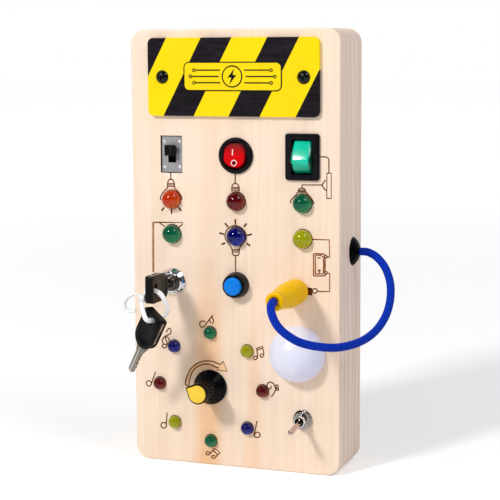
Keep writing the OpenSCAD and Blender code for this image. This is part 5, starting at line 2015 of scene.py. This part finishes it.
@dataclass
class PlugShell:
    """Yellow plug: a ribbed grip, a waist and a stepped collar with a rolled lip round the cord."""

    start: float = 1.4
    grip: float = 8.55
    ribs: int = 6
    first_rib: float = 4.8
    rib_pitch: float = 3.1
    rib_depth: float = 0.75
    waist: float = 7.9
    step: float = 7.0
    collar: float = 6.1
    cord: float = 2.7
    end: float = 48.2

    def profile(self) -> list:
        """Radius and height of each ring from the panel out.

        Returns:
            The rings.
        """
        rings = [(0.0, self.start), (6.9, self.start), (7.7, self.start + 0.5),
                 (self.grip - 0.1, self.start + 2.0)]
        for k in range(self.ribs):
            along = self.first_rib + self.rib_pitch * k
            rings += [(self.grip - 0.05, along), (self.grip + 0.1, along + self.rib_pitch * 0.35),
                      (self.grip - 0.05, along + self.rib_pitch * 0.66),
                      (self.grip - self.rib_depth, along + self.rib_pitch * 0.78),
                      (self.grip - self.rib_depth, along + self.rib_pitch * 0.88)]
        along = self.first_rib + self.rib_pitch * self.ribs
        rings += [(self.grip - 0.25, along + 0.8), (self.waist + 0.25, along + 1.5), (self.waist, along + 2.3),
                  (self.waist - 0.1, along + 6.0), (self.waist - 0.45, along + 7.6),
                  (self.step + 0.25, along + 8.3),
                  (self.step, along + 9.1), (self.step - 0.15, along + 13.0), (self.step - 0.6, along + 14.6),
                  (self.collar + 0.05, along + 15.4), (self.collar - 0.15, along + 17.0),
                  (self.collar - 0.15, self.end - 3.2), (self.collar + 0.1, self.end - 2.4),
                  (self.collar + 0.1, self.end - 1.1), (self.collar - 0.35, self.end - 0.3),
                  (self.collar - 1.1, self.end), (self.cord + 1.3, self.end), (self.cord + 0.5, self.end - 0.5),
                  (self.cord + 0.15, self.end - 1.6), (self.cord + 0.1, self.end - 5.0), (0.0, self.end - 5.0)]
        return rings

    def build(self) -> Piece:
        """Turns the shell and sets it on the jack's axis.

        Returns:
            The shell.
        """
        shell = Bench.turned("plug_yellow_shell", self.profile(), 72)
        Bench.on_panel(shell, BOARD.jack)
        Bench.smooth(shell, 50)
        Bench.paint(shell, PLUG_YELLOW)
        return stand_in(shell, "plug_shell", "plug_yellow")


# ---- strap through the keys

@dataclass
class KeyStrap:
    """Flat soft strap through both keys, its clasp and its loose tail."""

    hole: Point = (-45.5, -60.7, 127.6)
    width: float = 3.3
    thick: float = 1.7
    loop: Sequence[Point] = ((-5.7, -1.1, -5.2), (-5.3, -0.5, -3.2), (-3.3, -0.1, -1.4), (0, 0, -0.7),
                             (3.5, 0, -1.3), (6.6, 0, -3.2), (8.5, 0.3, -6.2), (9.9, 1.9, -10.2),
                             (9.8, 3.1, -14.8),
                             (7.5, 2.9, -18.7), (4.7, 0.1, -20), (2.9, -3.9, -20), (1.1, -7.9, -20),
                             (-0.7, -9.2, -18.4), (-3.1, -7.5, -14.8), (-5.3, -5.1, -10.8), (-5.9, -2.9, -7.2))
    tail: Sequence[Point] = ((-7.1, -1.9, -5), (-11.9, -2.3, -3.8), (-16.7, -2.3, -6.2), (-19.3, -2.3, -10.4),
                             (-18.3, -2.3, -14.2), (-14.8, -2.3, -15.4), (-11.1, -1.9, -14.4))
    clasp: Point = (-5.9, -1.9, -6.0)
    clasp_size: Point = (3.6, 4.6, 4.6)
    clasp_ribs: Sequence[float] = (-1.2, 0.0, 1.2)
    rib_size: Point = (0.4, 3.4, 0.5)
    tail_share: float = 0.86
    squareness: float = 2.6
    lean: Point = (1.0, -0.35, 0.1)

    def build(self) -> Piece:
        """Builds the strap.

        Returns:
            The strap.
        """
        hole = Vector(self.hole)
        clasp = hole + Vector(self.clasp)
        parts = []
        for name, route, width in (("strap_loop", self.loop, self.width),
                                   ("strap_tail", self.tail, self.width * self.tail_share)):
            path = [p * MM for p in spline([hole + Vector(p) for p in route], 6)]
            parts.append(sleeve(name, path, width / 2, self.thick / 2, 20, Vector(self.lean),
                                self.squareness)[0])
        parts.append(Bench.block("strap_clasp", clasp, self.clasp_size, 0.7, 4))
        for level in self.clasp_ribs:
            at = clasp + Vector((-self.clasp_size[0] / 2 - 0.05, 0, level))
            parts.append(Bench.block("strap_rib", at, self.rib_size, 0.15, 2))
        strap = Bench.join(parts)
        strap.name = strap.data.name = "key_strap"
        Bench.smooth(strap, 40)
        Bench.paint(strap, STRAP_WHITE)
        return stand_in(strap, "key_tie", "white_strap")


# ---- key blades

@dataclass
class KeyBlade:
    """Steel key blade with a groove milled along each side, its floor within the given depths painted bright as a
    painted highlight.
    """

    node: str
    name: str
    depth: Pair = (0.2, 0.5)
    flat: float = 0.99
    ease: float = 0.08

    def build(self) -> Piece:
        """Dresses the blade.

        Returns:
            The piece.
        """
        piece = Bench.copy_of(self.node, self.name)
        Bench.soften(piece, self.ease)
        Bench.smooth(piece, 35)
        Bench.paint(piece, KEY_STEEL, GROOVE_GLINT)
        faces = piece.data.polygons
        side = max(faces, key=lambda f: f.area).normal.copy()
        levels = [side.dot(f.center) for f in faces]
        for face, level in zip(faces, levels):
            turned = side.dot(face.normal)
            away = (max(levels) - level if turned > 0 else level - min(levels)) / MM
            if abs(turned) > self.flat and self.depth[0] < away < self.depth[1]:
                face.material_index = 1
        return stand_in(piece, self.node, "key_steel")


# ---- slide switch

@dataclass
class SlideFrame:
    """Sheet-steel frame of the slide switch, with dimples pressed out at its corners and painted bright as painted
    highlights.
    """

    sheet_front: float = 1.2
    dimple: Pair = (5.6, 8.7)
    reach: float = 1.4

    def on_dimple(self, at: Vector) -> bool:
        """Whether a place is on a dimple. Args: the place in metres. Returns: yes or no."""
        off = (abs(at.x / MM - BOARD.left) - self.dimple[0], abs(at.z / MM - BOARD.switches) - self.dimple[1])
        return at.y / MM < BOARD.face + self.sheet_front - 0.02 and math.hypot(*off) < self.reach

    def build(self) -> Piece:
        """Dresses the frame.

        Returns:
            The piece.
        """
        piece = Bench.copy_of("slide_switch_frame", "slide_frame")
        Bench.smooth(piece, 35)
        Bench.paint(piece, SWITCH_STEEL, DIMPLE_HIGHLIGHT)
        for face in piece.data.polygons:
            if self.on_dimple(face.center):
                face.material_index = 1
        Bench.even_shade(piece)
        return stand_in(piece, "slide_switch_frame", "switch_steel")


@dataclass
class SlideGrip:
    """Grooved black handle of the slide switch, kept low over the wood."""

    lower: float = 2.4
    ease: float = 0.18

    def build(self) -> Piece:
        """Shapes the handle from a copy of its solid.

        Returns:
            The piece.
        """
        piece = Bench.copy_of("slide_switch_handle", "slide_handle_grip")
        Bench.nudge(piece, lambda p: p.y < (BOARD.face - 3) * MM, (0, self.lower, 0))
        Bench.soften(piece, self.ease)
        Bench.smooth(piece, 35)
        Bench.paint(piece, BLACK_GLOSS)
        return stand_in(piece, "slide_switch_handle", "black_gloss")


# ---- lamps

@dataclass
class LampLens:
    """Domed lens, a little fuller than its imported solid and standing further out."""

    node: str
    place: Pair
    radius: float
    colour: str
    shades: Tuple[str, str]
    swell: float = 1.05
    lift: float = 1.1

    def build(self) -> Piece:
        """Shapes the lens from a copy of its solid.

        Returns:
            The piece.
        """
        piece = Bench.copy_of(self.node, self.node + "_lens")
        with Bench.picking(piece, Part.POINTS, lambda p: p.y < (BOARD.face - 0.2) * MM):
            bpy.ops.transform.translate(value=(0, -self.lift * MM, 0))
            bpy.ops.transform.resize(value=(self.swell, 1, self.swell),
                                     center_override=(self.place[0] * MM, 0, self.place[1] * MM))
        Bench.smooth(piece, 35)
        Bench.paint(piece, Lens(self.node, *self.shades, self.place, self.radius))
        return stand_in(piece, self.node, "lens_" + self.colour)


# ---- toggle switch

@dataclass
class ToggleCase:
    """Polished toggle bushing and body, its bore painted black as painted shade."""

    bore: float = 3.2
    lip: float = 8.35
    deep: float = 12.0

    def build(self) -> Piece:
        """Dresses the toggle switch body.

        Returns:
            The piece.
        """
        piece = Bench.copy_of("toggle_switch_body", "toggle_case")
        Bench.soften(piece, 0.12, 2)
        Bench.smooth(piece, 35)
        Bench.paint(piece, CHROME, BORE_SHADE)
        x, z = BOARD.toggle
        for face in piece.data.polygons:
            at = face.center / MM
            out = math.hypot(at.x - x, at.z - z)
            if out < self.bore and BOARD.face - self.lip < at.y < BOARD.face + self.deep:
                face.material_index = 1
        return stand_in(piece, "toggle_switch_body", "zinc")


# ---- main

# Each lens: its body colour and the colour of its painted glow.
LAMP_SHADES = {"orange": ("#bd3002", "#ea6a12"), "green": ("#01583a", "#05a068"), "red": ("#520105", "#9a0a10"),
               "blue": ("#01055c", "#0a2ec0"), "lime": ("#a0a104", "#c8cc22")}
BIG_LAMPS = (("lamp_orange", "orange", (BOARD.left, BOARD.lamps_upper)),
             ("lamp_green_left", "green", (BOARD.left, BOARD.lamps_lower)),
             ("lamp_red", "red", (BOARD.middle, BOARD.lamps_upper)),
             ("lamp_blue", "blue", (BOARD.middle, BOARD.lamps_lower)),
             ("lamp_green_right", "green", (BOARD.right, BOARD.lamps_upper)),
             ("lamp_lime", "lime", (BOARD.right, BOARD.lamps_lower)))


def lamps() -> list:
    """The six large lamps and the eight small ones.

    Returns:
        Their lenses.
    """
    big = [LampLens(node, place, 6.1, colour, LAMP_SHADES[colour]) for node, colour, place in BIG_LAMPS]
    small = [LampLens(f"note_lamp_{k + 1}", BOARD.note_lamp(k), 4.1, colour, LAMP_SHADES[colour], lift=0.8)
             for k, colour in enumerate(("green", "lime", "red", "blue") * 2)]
    return big + small


def dressed_nodes() -> list:
    """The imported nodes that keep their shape.

    Returns:
        Their dressings.
    """
    return [
        Dressed("back_cover", "plywood_cover", PLY, "plywood", 0.3, broad=True),
        Dressed("back_screws", "cover_screws", ZINC, "zinc", 0.12),
        Dressed("battery_box", "battery_case", BLACK_CASE, "black_case", 0.2),
        Dressed("battery_contacts", "battery_springs", SPRING_PLATE, "spring_plate", 0.1),
        Dressed("battery_cells", "battery_row", SLEEVE, "cell_sleeve", 0.3),
        Dressed("battery_door", "battery_lid_plate", BLACK_DOOR, "black_door", 0.3, broad=True),
        Dressed("door_screw", "lid_screw", ZINC, "zinc", 0.1),
        Dressed("sign_plate", "hazard_sign", HAZARD, "sign_yellow", 0.5, 3, broad=True),
        Dressed("sign_screws", "sign_screw_pair", BLACK_SCREW, "black_screw", 0.12),
        Dressed("slide_switch_base", "slide_base", PHENOLIC, "phenolic", 0.15),
        Dressed("round_rocker_housing", "round_rocker_bezel", BLACK_CASE, "black_case", 0.25),
        Dressed("round_rocker_button", "red_button", RED_ROCKER, "red_rocker", 0.5, 3),
        Dressed("big_rocker_housing", "big_rocker_bezel", BLACK_CASE, "black_case", 0.3),
        Dressed("push_button_housing", "push_bezel", BLACK_GLOSS, "black_gloss", 0.25),
        Dressed("push_button_cap", "push_cap_blue", BLUE_CAP, "blue_cap", 0.3, 3),
        Dressed("push_button_nut", "push_nut", BLACK_CASE, "black_case", 0.2),
        Dressed("key_lock_barrel", "lock_barrel", CHROME, "chrome_lock", 0.2),
        Dressed("key_lock_nut", "lock_nut", NICKEL, "nickel", 0.2),
        Dressed("key_lock_rotor", "lock_plug", CORE, "lock_core", 0.15),
        Dressed("key_head", "key_head_black", KEY_BLACK, "black_gloss", 0.45, 3),
        Dressed("spare_key_head", "spare_head_black", KEY_BLACK, "black_gloss", 0.45, 3),
        Dressed("jack_socket", "jack", NICKEL, "nickel", 0.15),
        Dressed("plug_pin", "plug_pin_brass", BRASS, "brass_pin", 0.1),
        Dressed("cord_grommet", "side_grommet", RUBBER, "rubber_black", 0.0),
        Dressed("dome_cover", "dome_lamp", DOME_WHITE, "dome_white", 0.0),
        Dressed("dome_base", "dome_lamp_base", LAMP_BASE, "lamp_base", 0.2),
        Dressed("dial_pot", "dial_pot_case", ZINC, "zinc", 0.2),
        Dressed("dial_nut", "dial_nut_zinc", ZINC, "zinc", 0.15),
        Dressed("dial_shaft", "dial_shaft_zinc", ZINC, "zinc", 0.1),
        Dressed("dial_knob", "knob_black", KNOB_BLACK, "black_gloss", 0.2),
        Dressed("dial_pointer", "knob_pointer", POINTER_YELLOW, "pointer_yellow", 0.3),
        Dressed("toggle_nut", "toggle_nut_zinc", NUT_ZINC, "zinc", 0.2),
        Dressed("toggle_lever", "toggle_bat", LEVER_WOOD_REFLECTION, "zinc", 0.0),
        Dressed("circuit_board", "lamp_circuit", CIRCUIT, "board_green", 0.15),
        Dressed("board_standoffs", "circuit_standoffs", SPACER, "spacer", 0.15),
    ]


def main() -> None:
    """Builds the studio, the cord and every piece in order."""
    logging.basicConfig(level=logging.INFO, format="%(name)s %(message)s")
    Studio().build()
    maker = PlugCord()
    cord = maker.build()
    for other in (WoodBody(), SignBadge(), SlideFrame(), SlideGrip(), KeyBlade("key_blade", "key_blade_steel"),
                  KeyBlade("spare_key_blade", "spare_blade_steel"), GreenPaddle(), KeyStrap(), ToggleCase()):
        other.build()
    shell = PlugShell().build()
    made = {other.node: other.build() for other in lamps() + dressed_nodes()}
    Bench.clear()


if __name__ == "__main__":
    main()
